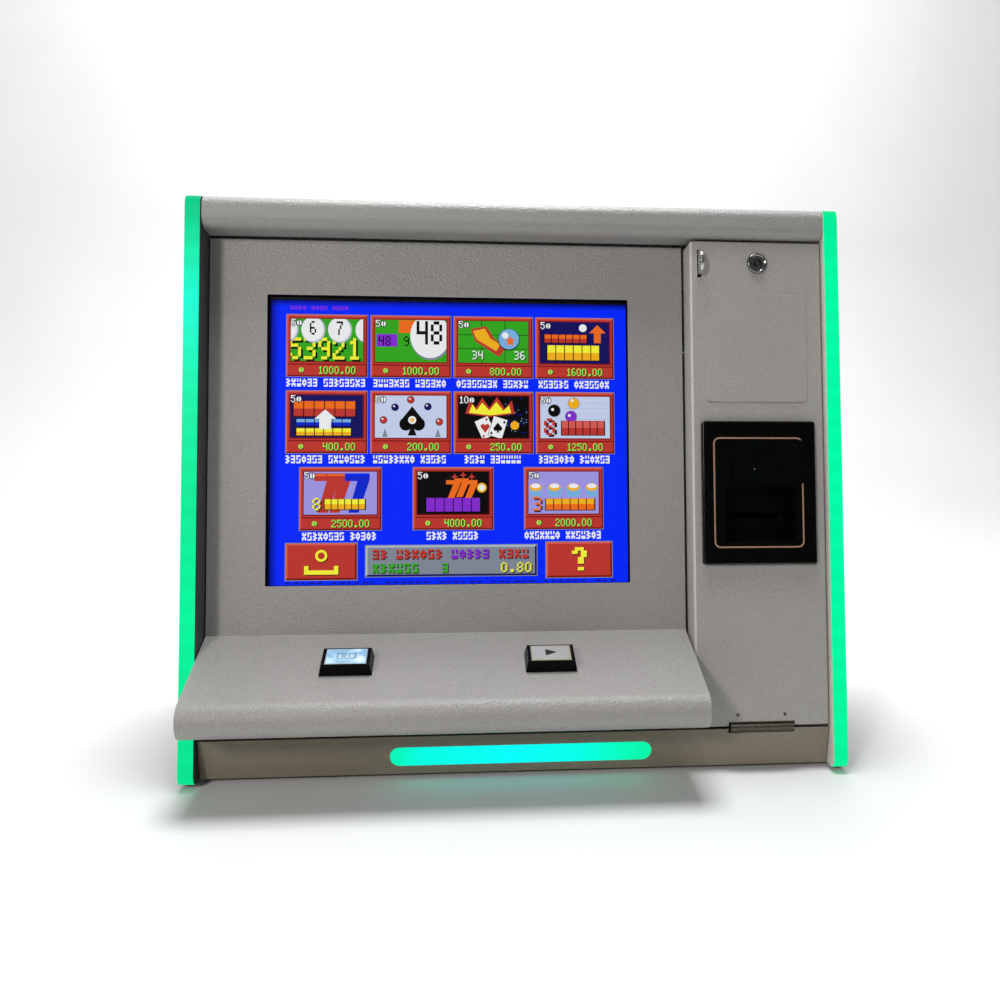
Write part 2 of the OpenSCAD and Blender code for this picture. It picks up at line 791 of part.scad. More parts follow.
module button_housing(x) {
    top_w = cap_w + 2 * (surround_side + cap_gap);
    top_d = cap_d + 2 * (surround_wall + cap_gap);
    color(c_black) on_deck(x, button_s) difference() {
        union() {
            tapered(button_w, button_d, 0, top_w, top_d, surround_h);
            rod_z(0, 0, [-26, eps], barrel_r);
        }
        block([-1, 1] * (cap_w / 2 + cap_gap), [-1, 1] * (cap_d / 2 + cap_gap),
              [cap_floor, surround_h + 1]);
        rod_z(0, 0, [-27, cap_floor + 1], 5.3);
    }
}

module button_cap(x) {
    low = cap_floor + button_travel + 0.4;
    color([0.85, 0.86, 0.85]) on_deck(x, button_s) {
        block([-1, 1] * cap_w / 2, [-1, 1] * cap_d / 2, [low, surround_h + 0.4]);
        rod_z(0, 0, [-20, low + 0.1], 5);
    }
}

module button_nut(x) {
    color(c_black) on_deck(x, button_s) difference() {
        translate([0, 0, -sheet - 5]) cylinder(r = 17, h = 4.97, $fn = 6);
        rod_z(0, 0, [-sheet - 6, 0], barrel_r + 0.02);
    }
}

module button_switch(x) {
    color([0.75, 0.1, 0.08]) on_deck(x, button_s) {
        block([-14, 14], [-8, 8], [-52, -26]);
        rod_z(0, 0, [-26, -23.2], 2);
        for (t = [-9, 0, 9]) block([t - 2, t + 2], [-0.4, 0.4], [-58, -52]);
    }
}

module ticket_button_housing() { button_housing(ticket_x); }
module ticket_button_cap() { button_cap(ticket_x); }
module ticket_button_nut() { button_nut(ticket_x); }
module ticket_button_switch() { button_switch(ticket_x); }
module play_button_housing() { button_housing(play_x); }
module play_button_cap() { button_cap(play_x); }
module play_button_nut() { button_nut(play_x); }
module play_button_switch() { button_switch(play_x); }

// ---------- bill door ----------

// A box whose two front side edges are round, cut by one whose top and bottom front edges are
module pan_solid(x, u, n, r) {
    intersection() {
        along_y(u) difference() {
            round_rect(x, [n[0] - 2 * r, n[1]], r);
            translate([x[0] - 1, n[0] - 4 * r]) square([x[1] - x[0] + 2, 4 * r]);
        }
        along_x(x) difference() {
            round_rect(u, [n[0] - 2 * r, n[1]], r);
            translate([u[0] - 1, n[0] - 4 * r]) square([u[1] - u[0] + 2, 4 * r]);
        }
    }
}

// What is cut away from the upright corners of a box to leave them round
module corner_cuts(x, u, n, r) {
    for (sx = [0, 1], su = [0, 1])
        translate([x[sx], u[su], 0]) mirror([sx, 0, 0]) mirror([0, su, 0]) difference() {
            block([-1, r], [-1, r], n);
            rod_z(r, r, [n[0] - 1, n[1] + 1], r + blend);
        }
}

module bill_door_panel() {
    x = [bill_left, bill_right];
    u = [bill_bottom, bill_top];
    color(c_body) on_face() difference() {
        pan_solid(x, u, [-40, -bill_in], bill_edge_r);
        corner_cuts(x, u, [-41, 1 - bill_in], bill_corner_r);
        pan_solid([bill_left + sheet, bill_right - sheet], [bill_bottom + sheet, bill_top - sheet],
                  [-60, bill_back], bill_edge_r - sheet + 0.5);
        // the top, the bottom and the right flange are shorter than the left one
        block([bill_left + sheet, bill_right + 1], [0, 600], [-41, -28]);
        round_block(plate_x, plate_u, [bill_back - 1, 0], plate_r);
        block([bezel_x - bezel_w / 2 + 4, bezel_x + bezel_w / 2 - 4],
              [bezel_u - bezel_h / 2 + 4, bezel_u + bezel_h / 2 - 4], [bill_back - 1, 0]);
        rod_z(lock_x, lock_u, [bill_back - 1, 0], lock_r + 0.1);
        block([staple_x - 2.2, staple_x + 2.2], [515.2, 544.8], [bill_back - 1, 0]);
        block([bill_hinge_x[0] - 1.5, bill_hinge_x[1] + 1.5], [40, 50.4], [-41, 0]);
        for (x = rivet_x) rod_z(x, rivet_u, [bill_back - 1, 0], rivet_r + 0.1);
    }
}

module blanking_plate() {
    color(c_body) on_face() {
        round_block([plate_x[0] + 0.15, plate_x[1] - 0.15], [plate_u[0] + 0.15, plate_u[1] - 0.15],
                    [bill_back, -bill_in + plate_out], plate_r - 0.15);
        round_block([plate_x[0] - 8, plate_x[1] + 8], [plate_u[0] - 8, plate_u[1] + 8],
                    [bill_back - 1.5, bill_back], plate_r);
    }
}

module acceptor_bezel() {
    x = [bezel_x - bezel_w / 2, bezel_x + bezel_w / 2];
    u = [bezel_u - bezel_h / 2, bezel_u + bezel_h / 2];
    color(c_black) on_face() difference() {
        union() {
            difference() {
                pan_solid(x, u, [-bill_in, -bill_in + bezel_out], 2);
                corner_cuts(x, u, [-bill_in - 1, -bill_in + bezel_out + 1], bezel_corner_r);
            }
            block([x[0] + 4.4, x[1] - 4.4], [u[0] + 4.4, u[1] - 4.4], [bill_back - 10, -bill_in]);
        }
        round_block(mouth_x, mouth_u, [bill_back - 12, 5], 5);
    }
}

module bezel_trim() {
    n = -bill_in + bezel_out;
    color(c_copper) on_face() difference() {
        round_block([mouth_x[0] - trim_w, mouth_x[1] + trim_w],
                    [mouth_u[0] - trim_w, mouth_u[1] + trim_w], [n, n + trim_t], 5 + trim_w);
        round_block(mouth_x, mouth_u, [n - 1, n + 1], 5);
    }
}

// The moulding inside the bezel: a rail, a raised block that laps over the trim, and the mouth
module acceptor_mouth() {
    x = [mouth_x[0] + 0.3, mouth_x[1] - 0.3];
    u = [mouth_u[0] + 0.3, mouth_u[1] - 0.3];
    lap = -bill_in + bezel_out + trim_t;
    color([0.1, 0.1, 0.11]) on_face() difference() {
        union() {
            round_block(x, u, [-44, -3], 4.7);
            block([212, 219.5], [294, 341], [-3.1, -1.6]);
            block([220.5, 292], [297, 342], [-3.1, lap + 0.1]);
            block([220.5, 297.2], [297, 342], [lap, lap + 1]);
            block([220.5, 297.2], [298, 322.5], [lap, lap + 1.6]);
        }
        block([212.5, 287], [237, 293], [-38, 0]);
        block([216, 284], [262, 267], [-45, -37]);
        block([223, 296], [326, 336.6], [lap + 0.4, 2]);
        rod_z(242.6, 311.8, [lap + 0.6, lap + 2], 1.6);
    }
}

module acceptor_head() {
    color([0.16, 0.17, 0.18]) on_face() difference() {
        union() {
            block([197.5, 299.5], [208, 340], [-128, -45]);
            block([206, 293], [196, 208], [-112, -50]);
        }
        block([215, 285], [262, 267], [-90, -44]);
        block([215, 285], [195, 263], [-90, -84]);
    }
}

module acceptor_brackets() {
    color(c_steel) on_face() for (side = [-1, 1]) {
        near = bezel_x + side * 51;
        cheek = side > 0 ? [near, near + sheet] : [near - sheet, near];
        foot = side > 0 ? [near, near + 15] : [near - 15, near];
        block(cheek, [203, 372], [-80, bill_back - 14]);
        for (u = [[203, 215], [360, 372]]) {
            block(cheek, u, [bill_back - 15, bill_back]);
            block(foot, u, [bill_back - sheet, bill_back]);
        }
    }
}

module cash_box() {
    color([0.2, 0.21, 0.22]) on_face() difference() {
        block(cash_x, cash_u, cash_n);
        block([cash_x[0] + cash_wall, cash_x[1] - cash_wall], [cash_u[0] + cash_wall, cash_u[1] - cash_wall],
              [cash_n[0] + cash_wall, cash_n[1] - cash_wall]);
        block([214, 286], [cash_u[1] - 3, cash_u[1] + 1], [-92, -82]);
        block([225, 273], [cash_u[0] + 40, cash_u[0] + 58], [cash_n[0] - 1, cash_n[0] + 3]);
    }
}

module lock_body() {
    color("silver") on_face() difference() {
        union() {
            rod_z(lock_x, lock_u, [lock_tail_n + 1, -bill_in], lock_r);
            translate([lock_x, lock_u, -bill_in]) rotate_extrude() polygon([
                [1, 0], [11, 0], [11, 1.4], [10.2, 3], [9.2, 3.4], [7.6, 2.5], [1, 2.5]
            ]);
        }
        rod_z(lock_x, lock_u, [lock_tail_n, 0], plug_r + 0.06);
    }
}

module lock_nut() {
    color("silver") on_face() difference() {
        translate([lock_x, lock_u, bill_back - 4]) cylinder(r = 14, h = 4, $fn = 6);
        rod_z(lock_x, lock_u, [bill_back - 5, 0], lock_r + 0.05);
    }
}

module lock_plug() {
    color("silver") on_face() difference() {
        rod_z(lock_x, lock_u, [lock_tail_n, -bill_in + 2.6], plug_r);
        difference() {
            rod_z(lock_x, lock_u, [-18, 0], 4.2);
            rod_z(lock_x, lock_u, [-19, 1], 2.6);
        }
        block([lock_x - 0.8, lock_x + 0.8], [lock_u + 3.6, lock_u + 5.2], [-18, 0]);
    }
}

module lock_cam() {
    color(c_steel) on_face() difference() {
        union() {
            block([lock_x, lock_x + 26], [lock_u - 6, lock_u + 6], [lock_tail_n - 2.4, lock_tail_n]);
            for (x = [0, 26]) rod_z(lock_x + x, lock_u, [lock_tail_n - 2.4, lock_tail_n], 6);
        }
        rod_z(lock_x, lock_u, [lock_tail_n - 4, lock_tail_n - 1.6], 3);
    }
}

module bill_hinge_base_leaf() {
    n = bill_axis[1] - bill_knuckle_r;
    color([0.66, 0.6, 0.5]) on_face() {
        block(bill_hinge_x, [base_top[0] - sheet - 1.6, base_top[0] - sheet - 0.1], [-32, n + 1.5]);
        knuckle_tabs(bill_hinge_x, bill_knuckles, 1, [base_top[0] - sheet - 0.2, 44.5], [n, n + 1.5]);
        knuckles(bill_hinge_x, bill_knuckles, 1, bill_axis, bill_knuckle_r, bill_pin_r);
    }
}

// The leaf on the bill door, with its two rivets set in it
module bill_hinge_door_leaf() {
    n = bill_axis[1] - bill_knuckle_r;
    color([0.66, 0.6, 0.5]) on_face() {
        block(bill_hinge_x, [48.4, 74], [n, bill_back]);
        knuckle_tabs(bill_hinge_x, bill_knuckles, 0, [44.5, 48.5], [n, bill_back]);
        knuckles(bill_hinge_x, bill_knuckles, 0, bill_axis, bill_knuckle_r, bill_pin_r);
        for (x = rivet_x) {
            rod_z(x, rivet_u, [n, -bill_in], rivet_r);
            rod_z(x, rivet_u, [-bill_in, -bill_in + 0.6], rivet_r + 0.5);
        }
    }
}

module bill_hinge_pin() {
    color(c_steel) on_face() rod_x(bill_hinge_x, bill_axis[0], bill_axis[1], bill_pin_r);
}

// ---------- every node ----------

side_board_left();
side_board_right();
edge_diffuser_left();
edge_diffuser_right();
edge_led_tape_left();
edge_led_tape_right();
top_hood();
back_panel();
bottom_panel();
base_front_panel();
base_light_lens();
base_led_board();
frame_post();
header_rail();
padlock_staple();
slide_bolt_body();
slide_bolt();
power_supply();
game_board();
board_standoffs();
speaker();
fan_frame();
fan_rotor();
fan_guard();
power_inlet();
power_rocker();
rubber_feet();
panel_screws();
main_hinge_frame_leaf();
main_hinge_door_leaf();
main_hinge_pin();
main_door_panel();
screen_gasket();
touch_glass();
lcd_panel();
lcd_brackets();
lcd_board();
ticket_button_housing();
ticket_button_cap();
ticket_button_nut();
ticket_button_switch();
play_button_housing();
play_button_cap();
play_button_nut();
play_button_switch();
bill_door_panel();
blanking_plate();
acceptor_bezel();
bezel_trim();
acceptor_mouth();
acceptor_head();
acceptor_brackets();
cash_box();
lock_body();
lock_nut();
lock_plug();
lock_cam();
bill_hinge_base_leaf();
bill_hinge_door_leaf();
bill_hinge_pin();
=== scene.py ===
import json
import math
import random

import bmesh
import bpy
from mathutils import Matrix, Vector


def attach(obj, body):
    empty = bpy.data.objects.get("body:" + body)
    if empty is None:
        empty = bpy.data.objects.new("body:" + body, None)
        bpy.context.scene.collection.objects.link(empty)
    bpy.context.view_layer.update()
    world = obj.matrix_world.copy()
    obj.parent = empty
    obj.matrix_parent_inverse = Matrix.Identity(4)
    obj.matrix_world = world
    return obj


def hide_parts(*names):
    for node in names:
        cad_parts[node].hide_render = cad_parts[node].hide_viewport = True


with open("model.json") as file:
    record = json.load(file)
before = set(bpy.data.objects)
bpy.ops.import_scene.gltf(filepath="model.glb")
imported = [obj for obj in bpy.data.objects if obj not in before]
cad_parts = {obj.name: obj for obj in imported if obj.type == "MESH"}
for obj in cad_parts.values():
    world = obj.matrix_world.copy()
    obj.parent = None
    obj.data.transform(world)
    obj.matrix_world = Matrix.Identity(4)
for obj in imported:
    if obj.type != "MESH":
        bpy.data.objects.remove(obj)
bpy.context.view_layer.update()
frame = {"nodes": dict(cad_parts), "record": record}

# ---------------------------------------------------------------- frames
# The front face leans back by LEAN, and stands FACE_Y and BASE_Z from the frame's origin.
LEAN = math.radians(10)
S, C = math.sin(LEAN), math.cos(LEAN)
FACE_Y, BASE_Z = -120.140, 5.0
DECK = math.radians(27)
CREASE_U = 143.5    # where the deck meets the main door's face
DOOR_N = -37.7      # how far the main door's face stands behind the lit edges
BUTTON_X = {"ticket": -173, "play": 27}
BUTTON_S = 57.5     # from the crease down to the middle of a button


def direction(x, u, n):
    return Vector((x, u * S - n * C, u * C + n * S))


def face(x, u, n):
    """A point given in millimetres across, up and out of the leaning front, in metres."""
    return Vector((x, FACE_Y + u * S - n * C, BASE_Z + u * C + n * S)) / 1000


def deck(x, s, h):
    """A point of the button deck: s down from its crease, h above it, in millimetres."""
    return face(x, CREASE_U - s * math.sin(DECK) + h * math.cos(DECK),
                s * math.cos(DECK) + h * math.sin(DECK) + DOOR_N)


# ---------------------------------------------------------------- camera
cam = bpy.data.objects.new("camera", bpy.data.cameras.new("camera"))
bpy.context.scene.collection.objects.link(cam)
bpy.context.scene.camera = cam
right = direction(0.99558, -0.00651, 0.09369).normalized()
ahead = direction(0.09391, 0.05305, -0.99417).normalized()
up = right.cross(ahead)
cam.matrix_world = Matrix((
    (right.x, up.x, -ahead.x, -0.0583), (right.y, up.y, -ahead.y, -1.0926),
    (right.z, up.z, -ahead.z, 0.4207), (0, 0, 0, 1)))
cam.data.sensor_width = 36
cam.data.lens = 36.51
cam.data.shift_x = -0.060
cam.data.shift_y = -0.015
cam.data.clip_start = 0.02
cam.data.dof.use_dof = False


# ---------------------------------------------------------------- materials
class Mat:
    """A material and short calls for its nodes. Texture coordinates are the object's own, in metres."""

    def __init__(self, name, rgb, rough=0.5, metal=0.0, spec=0.5, coat=0.0):
        self.m = bpy.data.materials.new(name)
        self.m.use_nodes = True
        self.t = self.m.node_tree
        self.b = self.t.nodes["Principled BSDF"]
        self.rgb = rgb
        self.set("Base Color", (*rgb, 1))
        self.set("Roughness", rough)
        self.set("Metallic", metal)
        self.set("Specular IOR Level", spec)
        self.set("Coat Weight", coat)
        self.set("Coat Roughness", 0.1)
        self.m.diffuse_color = (*rgb, 1)

    def set(self, socket, value):
        self.b.inputs[socket].default_value = value

    def wire(self, out, socket):
        self.t.links.new(out, self.b.inputs[socket])

    def node(self, kind, links=(), **values):
        n = self.t.nodes.new(kind)
        for k, v in values.items():
            setattr(n, k, v)
        for k, v in dict(links).items():
            if hasattr(v, "is_output"):
                self.t.links.new(v, n.inputs[k])
            else:
                n.inputs[k].default_value = v
        return n

    def where(self, scale=(1, 1, 1), turn=(0, 0, 0)):
        co = self.node("ShaderNodeTexCoord")
        m = self.node("ShaderNodeMapping", {"Vector": co.outputs["Object"], "Scale": scale, "Rotation": turn})
        return m.outputs["Vector"]

    def noise(self, scale, detail=2.0, rough=0.5, at=None):
        n = self.node("ShaderNodeTexNoise", {"Vector": at or self.where(), "Scale": scale,
                                             "Detail": detail, "Roughness": rough})
        return n.outputs["Fac"]

    def cells(self, scale):
        n = self.node("ShaderNodeTexVoronoi", {"Vector": self.where(), "Scale": scale}, feature="SMOOTH_F1")
        return n.outputs["Distance"]

    def ramp(self, fac, *stops):
        n = self.node("ShaderNodeValToRGB", {"Fac": fac})
        e = n.color_ramp.elements
        while len(e) < len(stops):
            e.new(0.5)
        for el, (p, c) in zip(e, stops):
            el.position = p
            el.color = (*c, 1) if isinstance(c, tuple) else (c, c, c, 1)
        return n.outputs["Color"]

    def math(self, op, a, b=0.0):
        return self.node("ShaderNodeMath", {0: a, 1: b}, operation=op).outputs[0]

    def mix(self, fac, a, b, mode="MIX"):
        n = self.node("ShaderNodeMix", data_type="RGBA", blend_type=mode)
        for i, v in ((0, fac), (6, a), (7, b)):
            if hasattr(v, "is_output"):
                self.t.links.new(v, n.inputs[i])
            else:
                n.inputs[i].default_value = (*v, 1) if isinstance(v, tuple) else v
        return n.outputs[2]

    def bump(self, height, distance, strength=1.0):
        links = {"Height": height, "Distance": distance, "Strength": strength}
        return self.node("ShaderNodeBump", links).outputs["Normal"]

    def axis(self, i):
        co = self.node("ShaderNodeTexCoord")
        return self.node("ShaderNodeSeparateXYZ", {"Vector": co.outputs["Object"]}).outputs[i]


def shade(rgb, k):
    return tuple(min(1.0, c * k) for c in rgb)


def powder(name, rgb, grain=1.0, rough=0.33, depth=0.00050):
    """Textured powder coat: a pebbled skin with small sparkling peaks and darker valleys."""
    m = Mat(name, rgb, rough, spec=0.5)
    pebble = m.cells(520 / grain)
    fine = m.noise(900 / grain, 3.0, 0.6)
    broad = m.noise(7, 3.0, 0.55)
    height = m.math("ADD", m.math("MULTIPLY", pebble, -0.9), m.math("MULTIPLY", fine, 0.8))
    m.wire(m.bump(height, depth, 1.0), "Normal")
    speck = m.ramp(fine, (0.28, shade(rgb, 0.76)), (0.46, shade(rgb, 0.97)), (0.60, shade(rgb, 1.03)),
                   (0.78, shade(rgb, 1.24)))
    tone = m.ramp(broad, (0.32, 0.94), (0.68, 1.0))
    m.wire(m.mix(1.0, speck, tone, "MULTIPLY"), "Base Color")
    m.wire(m.ramp(m.noise(900 / grain, 2.0), (0.3, rough - 0.10), (0.7, rough + 0.14)), "Roughness")
    return m.m


def plastic(name, rgb, rough=0.4, grain=2200, depth=0.00004, spec=0.5):
    """Moulded plastic: a fine spark-eroded grain and a trace of uneven gloss."""
    m = Mat(name, rgb, rough, spec=spec)
    m.wire(m.bump(m.noise(grain, 2.0), depth, 0.6), "Normal")
    m.wire(m.ramp(m.noise(60, 4.0), (0.35, shade(rgb, 0.9)), (0.65, shade(rgb, 1.12))), "Base Color")
    m.wire(m.ramp(m.noise(140, 3.0), (0.3, max(0.02, rough - 0.08)), (0.7, rough + 0.08)), "Roughness")
    return m.m


def steel(name, rgb, rough=0.32, along=(1, 30, 30), metal=1.0):
    """Plated or bare steel with drawn-out fine scratches and a clouded tone."""
    m = Mat(name, rgb, rough, metal)
    streak = m.noise(260, 3.0, 0.6, m.where(along))
    cloud = m.noise(45, 4.0, 0.6)
    m.wire(m.mix(1.0, m.ramp(streak, (0.3, shade(rgb, 0.86)), (0.7, shade(rgb, 1.08))),
                 m.ramp(cloud, (0.3, 0.88), (0.7, 1.0)), "MULTIPLY"), "Base Color")
    m.wire(m.ramp(streak, (0.3, max(0.03, rough - 0.10)), (0.7, rough + 0.12)), "Roughness")
    m.wire(m.bump(streak, 0.00002, 0.5), "Normal")
    return m.m


def glow(name, rgb):
    """A plain lit colour, such as one colour of the display's picture."""
    m = Mat(name, shade(rgb, 0.05), 0.5, spec=0.05)
    m.set("Emission Color", (*rgb, 1))
    m.set("Emission Strength", 1.0)
    return m.m


def srgb(r, g, b):
    """A colour given as a screen's levels from 0 to 255, as linear light."""
    return tuple((v / 255 / 12.92 if v <= 10 else ((v / 255 + 0.055) / 1.055) ** 2.4) for v in (r, g, b))


BODY = powder("grey_powder_coat", (0.320, 0.305, 0.286))
# A lighter copy of the grey coat for the main door's rounded edges: painted highlight lines
BODY_HIGHLIGHT = powder("grey_powder_painted_highlight", (0.430, 0.415, 0.395))
# The bill door's coat is a lighter copy of the grey coat: painted light, for the brighter light the bill door
# gets where it stands forward of the main door
BILL = powder("bill_door_powder_coat", (0.375, 0.355, 0.330))
# A lighter copy of the bill door's coat: painted light on the bill door's left flank, and painted highlights
# on the blanking plate's top and left edges
BILL_HIGHLIGHT = powder("bill_door_painted_highlight", (0.60, 0.58, 0.55))
# A darker copy of the bill door's coat: painted shade on the blanking plate's right and lower edges
BILL_SHADE = powder("bill_door_painted_shade", (0.150, 0.140, 0.130))
HOOD = powder("hood_powder_coat", (0.310, 0.300, 0.285), 1.05, 0.36)
BASE = powder("base_powder_coat", (0.240, 0.206, 0.152), 0.9, 0.45)
INNER = powder("cabinet_powder_coat", (0.30, 0.29, 0.275), 0.9, 0.5)
CASH = powder("dark_powder_coat", (0.045, 0.048, 0.052), 0.8, 0.45, 0.00012)
BLACK = plastic("black_bezel_plastic", (0.0020, 0.0017, 0.0017), 0.30, spec=0.07)
BLACK_DULL = plastic("black_dull_plastic", (0.013, 0.013, 0.014), 0.55, 1500, 0.00006, 0.35)
BLACK_EDGE = plastic("black_bezel_edge", (0.0020, 0.0017, 0.0017), 0.18, spec=0.5)
MOUTH = plastic("mouth_plastic", (0.0016, 0.0024, 0.0024), 0.22, 1800, 0.00003, 0.09)
NYLON = plastic("nylon_grey", (0.05, 0.052, 0.055), 0.5)
ZINC = steel("zinc_plate", (0.62, 0.63, 0.64), 0.34)
DARK_STEEL = steel("black_oxide_steel", (0.055, 0.054, 0.052), 0.42, (8, 8, 8))
NICKEL = steel("nickel_plate", (0.66, 0.655, 0.64), 0.22, (30, 2, 30))
# The chrome's colour is darkened: a painted dark reflection of surroundings that the scene leaves out
CHROME = steel("chrome_painted_dark_reflection", (0.30, 0.295, 0.285), 0.15, (10, 10, 10))
HINGE = steel("hinge_plate", (0.115, 0.105, 0.080), 0.42, (2, 40, 40), 0.85)
RUBBER = plastic("foot_rubber", (0.012, 0.012, 0.012), 0.82, 900, 0.0001, 0.25)
ROCKER = plastic("rocker_red", (0.42, 0.015, 0.01), 0.25, 2500, 0.00002)
SWITCH = plastic("switch_red", (0.36, 0.02, 0.015), 0.35)
COPPER = steel("copper_band", (0.60, 0.36, 0.245), 0.34, (6, 6, 6), 0.55)
# The side boards' inner faces, with painted shade inside the left board and painted light inside the right,
# 322 mm from the middle, and how far in a board or its moulding is inside
INSIDE_LEFT_SHADE, INSIDE_RIGHT_LIGHT = (0.050, 0.052, 0.052), (0.72, 0.67, 0.62)
INSIDE_X = 0.32235
JACKET_X = 0.3219


def laminate():
    """Slate laminate with a leather-like print, with painted shade inside the left board, darker, and painted
    light inside the right, pale.
    """
    rgb = (0.150, 0.150, 0.148)
    m = Mat("slate_laminate", rgb, 0.42, spec=0.40)
    grain = m.cells(520)
    m.wire(m.bump(grain, 0.00012, 0.6), "Normal")
    across = m.axis(0)
    inside = m.math("LESS_THAN", m.math("ABSOLUTE", across), INSIDE_X)
    # Inside the boards: painted shade on the left and painted light on the right
    inner = m.mix(m.math("GREATER_THAN", across, 0.0), INSIDE_LEFT_SHADE, INSIDE_RIGHT_LIGHT)
    print_ = m.mix(1.0, m.ramp(m.noise(900, 3.0), (0.3, 0.75), (0.7, 1.3)),
                   m.ramp(m.noise(5, 2.0), (0.3, 0.88), (0.7, 1.0)), "MULTIPLY")
    m.wire(m.mix(1.0, m.mix(inside, rgb, inner), print_, "MULTIPLY"), "Base Color")
    m.wire(m.ramp(grain, (0.1, 0.36), (0.6, 0.5)), "Roughness")
    return m.m


def diffuser(name, jacket, *stops):
    """Milky edge moulding, lit from inside: green, hotter over each diode, jacketed on its inner side in the
    given colour, here painted shade on the left moulding and painted light on the right.
    """
    m = Mat(name, (0.001, 0.02, 0.012), 0.35, spec=0.05)
    band = m.math("ADD", m.math("MULTIPLY", m.axis(2), 1.712), m.math("MULTIPLY", m.noise(2.2, 1.0), 0.04))
    hue = m.ramp(band, *stops)
    spot = m.node("ShaderNodeTexWave", {"Vector": m.where(), "Scale": 14.0, "Distortion": 0.6},
                  bands_direction="Z").outputs["Fac"]
    lit = m.mix(1.0, hue, m.ramp(spot, (0.0, 0.95), (1.0, 1.0)), "MULTIPLY")
    side = m.math("LESS_THAN", m.math("ABSOLUTE", m.axis(0)), JACKET_X)
    m.wire(m.mix(side, lit, (0.0, 0.0, 0.0)), "Emission Color")
    m.wire(m.mix(side, m.rgb, jacket), "Base Color")
    m.set("Emission Strength", 1.0)
    m.wire(m.bump(m.noise(700, 2.0), 0.00003, 0.4), "Normal")
    return m.m


def lamp_lens():
    """The pill-shaped lamp in the base: cyan over its left and middle, and green at its right end."""
    m = Mat("lit_base_lens", (0.002, 0.05, 0.04), 0.3, spec=0.12)
    across = m.math("ADD", m.math("MULTIPLY", m.axis(0), 3.7), 0.5)
    across = m.math("ADD", across, m.math("MULTIPLY", m.math("SUBTRACT", m.noise(18, 2.0), 0.5), 0.10))
    hue = m.ramp(across, (0.02, (0.0, 0.90, 0.46)), (0.12, (0.0, 0.95, 0.74)), (0.45, (0.0, 0.97, 0.95)),
                 (0.70, (0.0, 0.97, 0.80)), (0.90, (0.0, 0.95, 0.46)), (1.0, (0.0, 0.88, 0.36)))
    m.wire(hue, "Emission Color")
    m.set("Emission Strength", 1.0)
    m.wire(m.bump(m.noise(500, 2.0), 0.00003, 0.4), "Normal")
    return m.m


def board_mat(name, level, mask, out):
    """A circuit board: a mask with tracks up to a level along `out`, and dark packages above it."""
    part = (0.016, 0.016, 0.018)
    m = Mat(name, mask, 0.38, spec=0.5)
    t = m.node("ShaderNodeTexBrick", {"Vector": m.where((1, 1, 1), (math.radians(90), 0, 0)), "Scale": 160.0,
               "Color1": (*shade(mask, 1.5), 1), "Color2": (*mask, 1), "Mortar": (*shade(mask, 0.75), 1),
               "Mortar Size": 0.06}).outputs["Color"]
    track = m.mix(m.ramp(m.noise(420, 1.0), (0.5, 0.0), (0.54, 1.0)), t, shade(mask, 1.9))
    h = m.node("ShaderNodeVectorMath", {0: m.node("ShaderNodeTexCoord").outputs["Object"], 1: out},
               operation="DOT_PRODUCT").outputs["Value"]
    over = m.math("GREATER_THAN", h, level)
    body = m.ramp(m.noise(90, 2.0), (0.4, part), (0.6, shade(part, 1.8)))
    m.wire(m.mix(over, track, body), "Base Color")
    m.wire(m.bump(m.noise(800, 2.0), 0.00003, 0.5), "Normal")
    return m.m


LAMINATE = laminate()
GREEN = (0.0, 0.94, 0.345)
LIT_LEFT = diffuser(
    "lit_left_moulding", INSIDE_LEFT_SHADE,
    (0.0, (0.0, 0.74, 0.26)), (0.05, (0.0, 0.78, 0.28)), (0.3, (0.0, 0.93, 0.35)), (0.5, (0.0, 0.84, 0.31)),
    (0.68, (0.0, 0.90, 0.40)), (0.84, (0.0, 0.99, 0.68)), (0.92, (0.0, 0.86, 0.42)), (1.0, (0.0, 0.60, 0.25)))
LIT_RIGHT = diffuser(
    "lit_right_moulding", INSIDE_RIGHT_LIGHT,
    (0.0, shade(GREEN, 0.9)), (0.1, GREEN), (0.5, (0.0, 0.97, 0.40)), (0.9, (0.0, 0.96, 0.37)),
    (1.0, shade(GREEN, 0.9)))
LENS = lamp_lens()
PCB = board_mat("game_board_mask", -0.1577, (0.012, 0.12, 0.045), (0, -1, 0))
LCD_PCB = board_mat("display_board_mask", -0.0525, (0.010, 0.10, 0.05), (0, C, -S))
TAPE = plastic("led_tape_white", (0.72, 0.72, 0.68), 0.4)
glass = Mat("clear_touch_glass", (0.003, 0.004, 0.005), 0.03, spec=0.25)
glass.set("Alpha", 0.05)
glass.wire(glass.ramp(glass.noise(35, 2.0), (0.3, 0.02), (0.7, 0.06)), "Roughness")
GLASS = glass.m
FRAME_BLACK = plastic("display_black_frame", (0.004, 0.004, 0.005), 0.4, spec=0.12)
GASKET = plastic("gasket_rubber", (0.004, 0.004, 0.004), 0.8, 900, 0.0001, 0.10)


def lit_cap(name, rgb, strength=0.0, dim=None, hot=None):
    """A button's plastic, clouded, and lit unevenly from inside when it has a strength."""
    m = Mat(name, rgb, 0.28, spec=0.5, coat=0.3)
    cloud = m.noise(48, 2.0)
    m.wire(m.ramp(cloud, (0.3, shade(rgb, 0.90)), (0.7, shade(rgb, 1.06))), "Base Color")
    if strength:
        m.wire(m.ramp(cloud, (0.40, dim), (0.60, hot)), "Emission Color")
        m.set("Emission Strength", strength)
    m.wire(m.bump(m.noise(1600, 2.0), 0.00002, 0.4), "Normal")
    return m.m


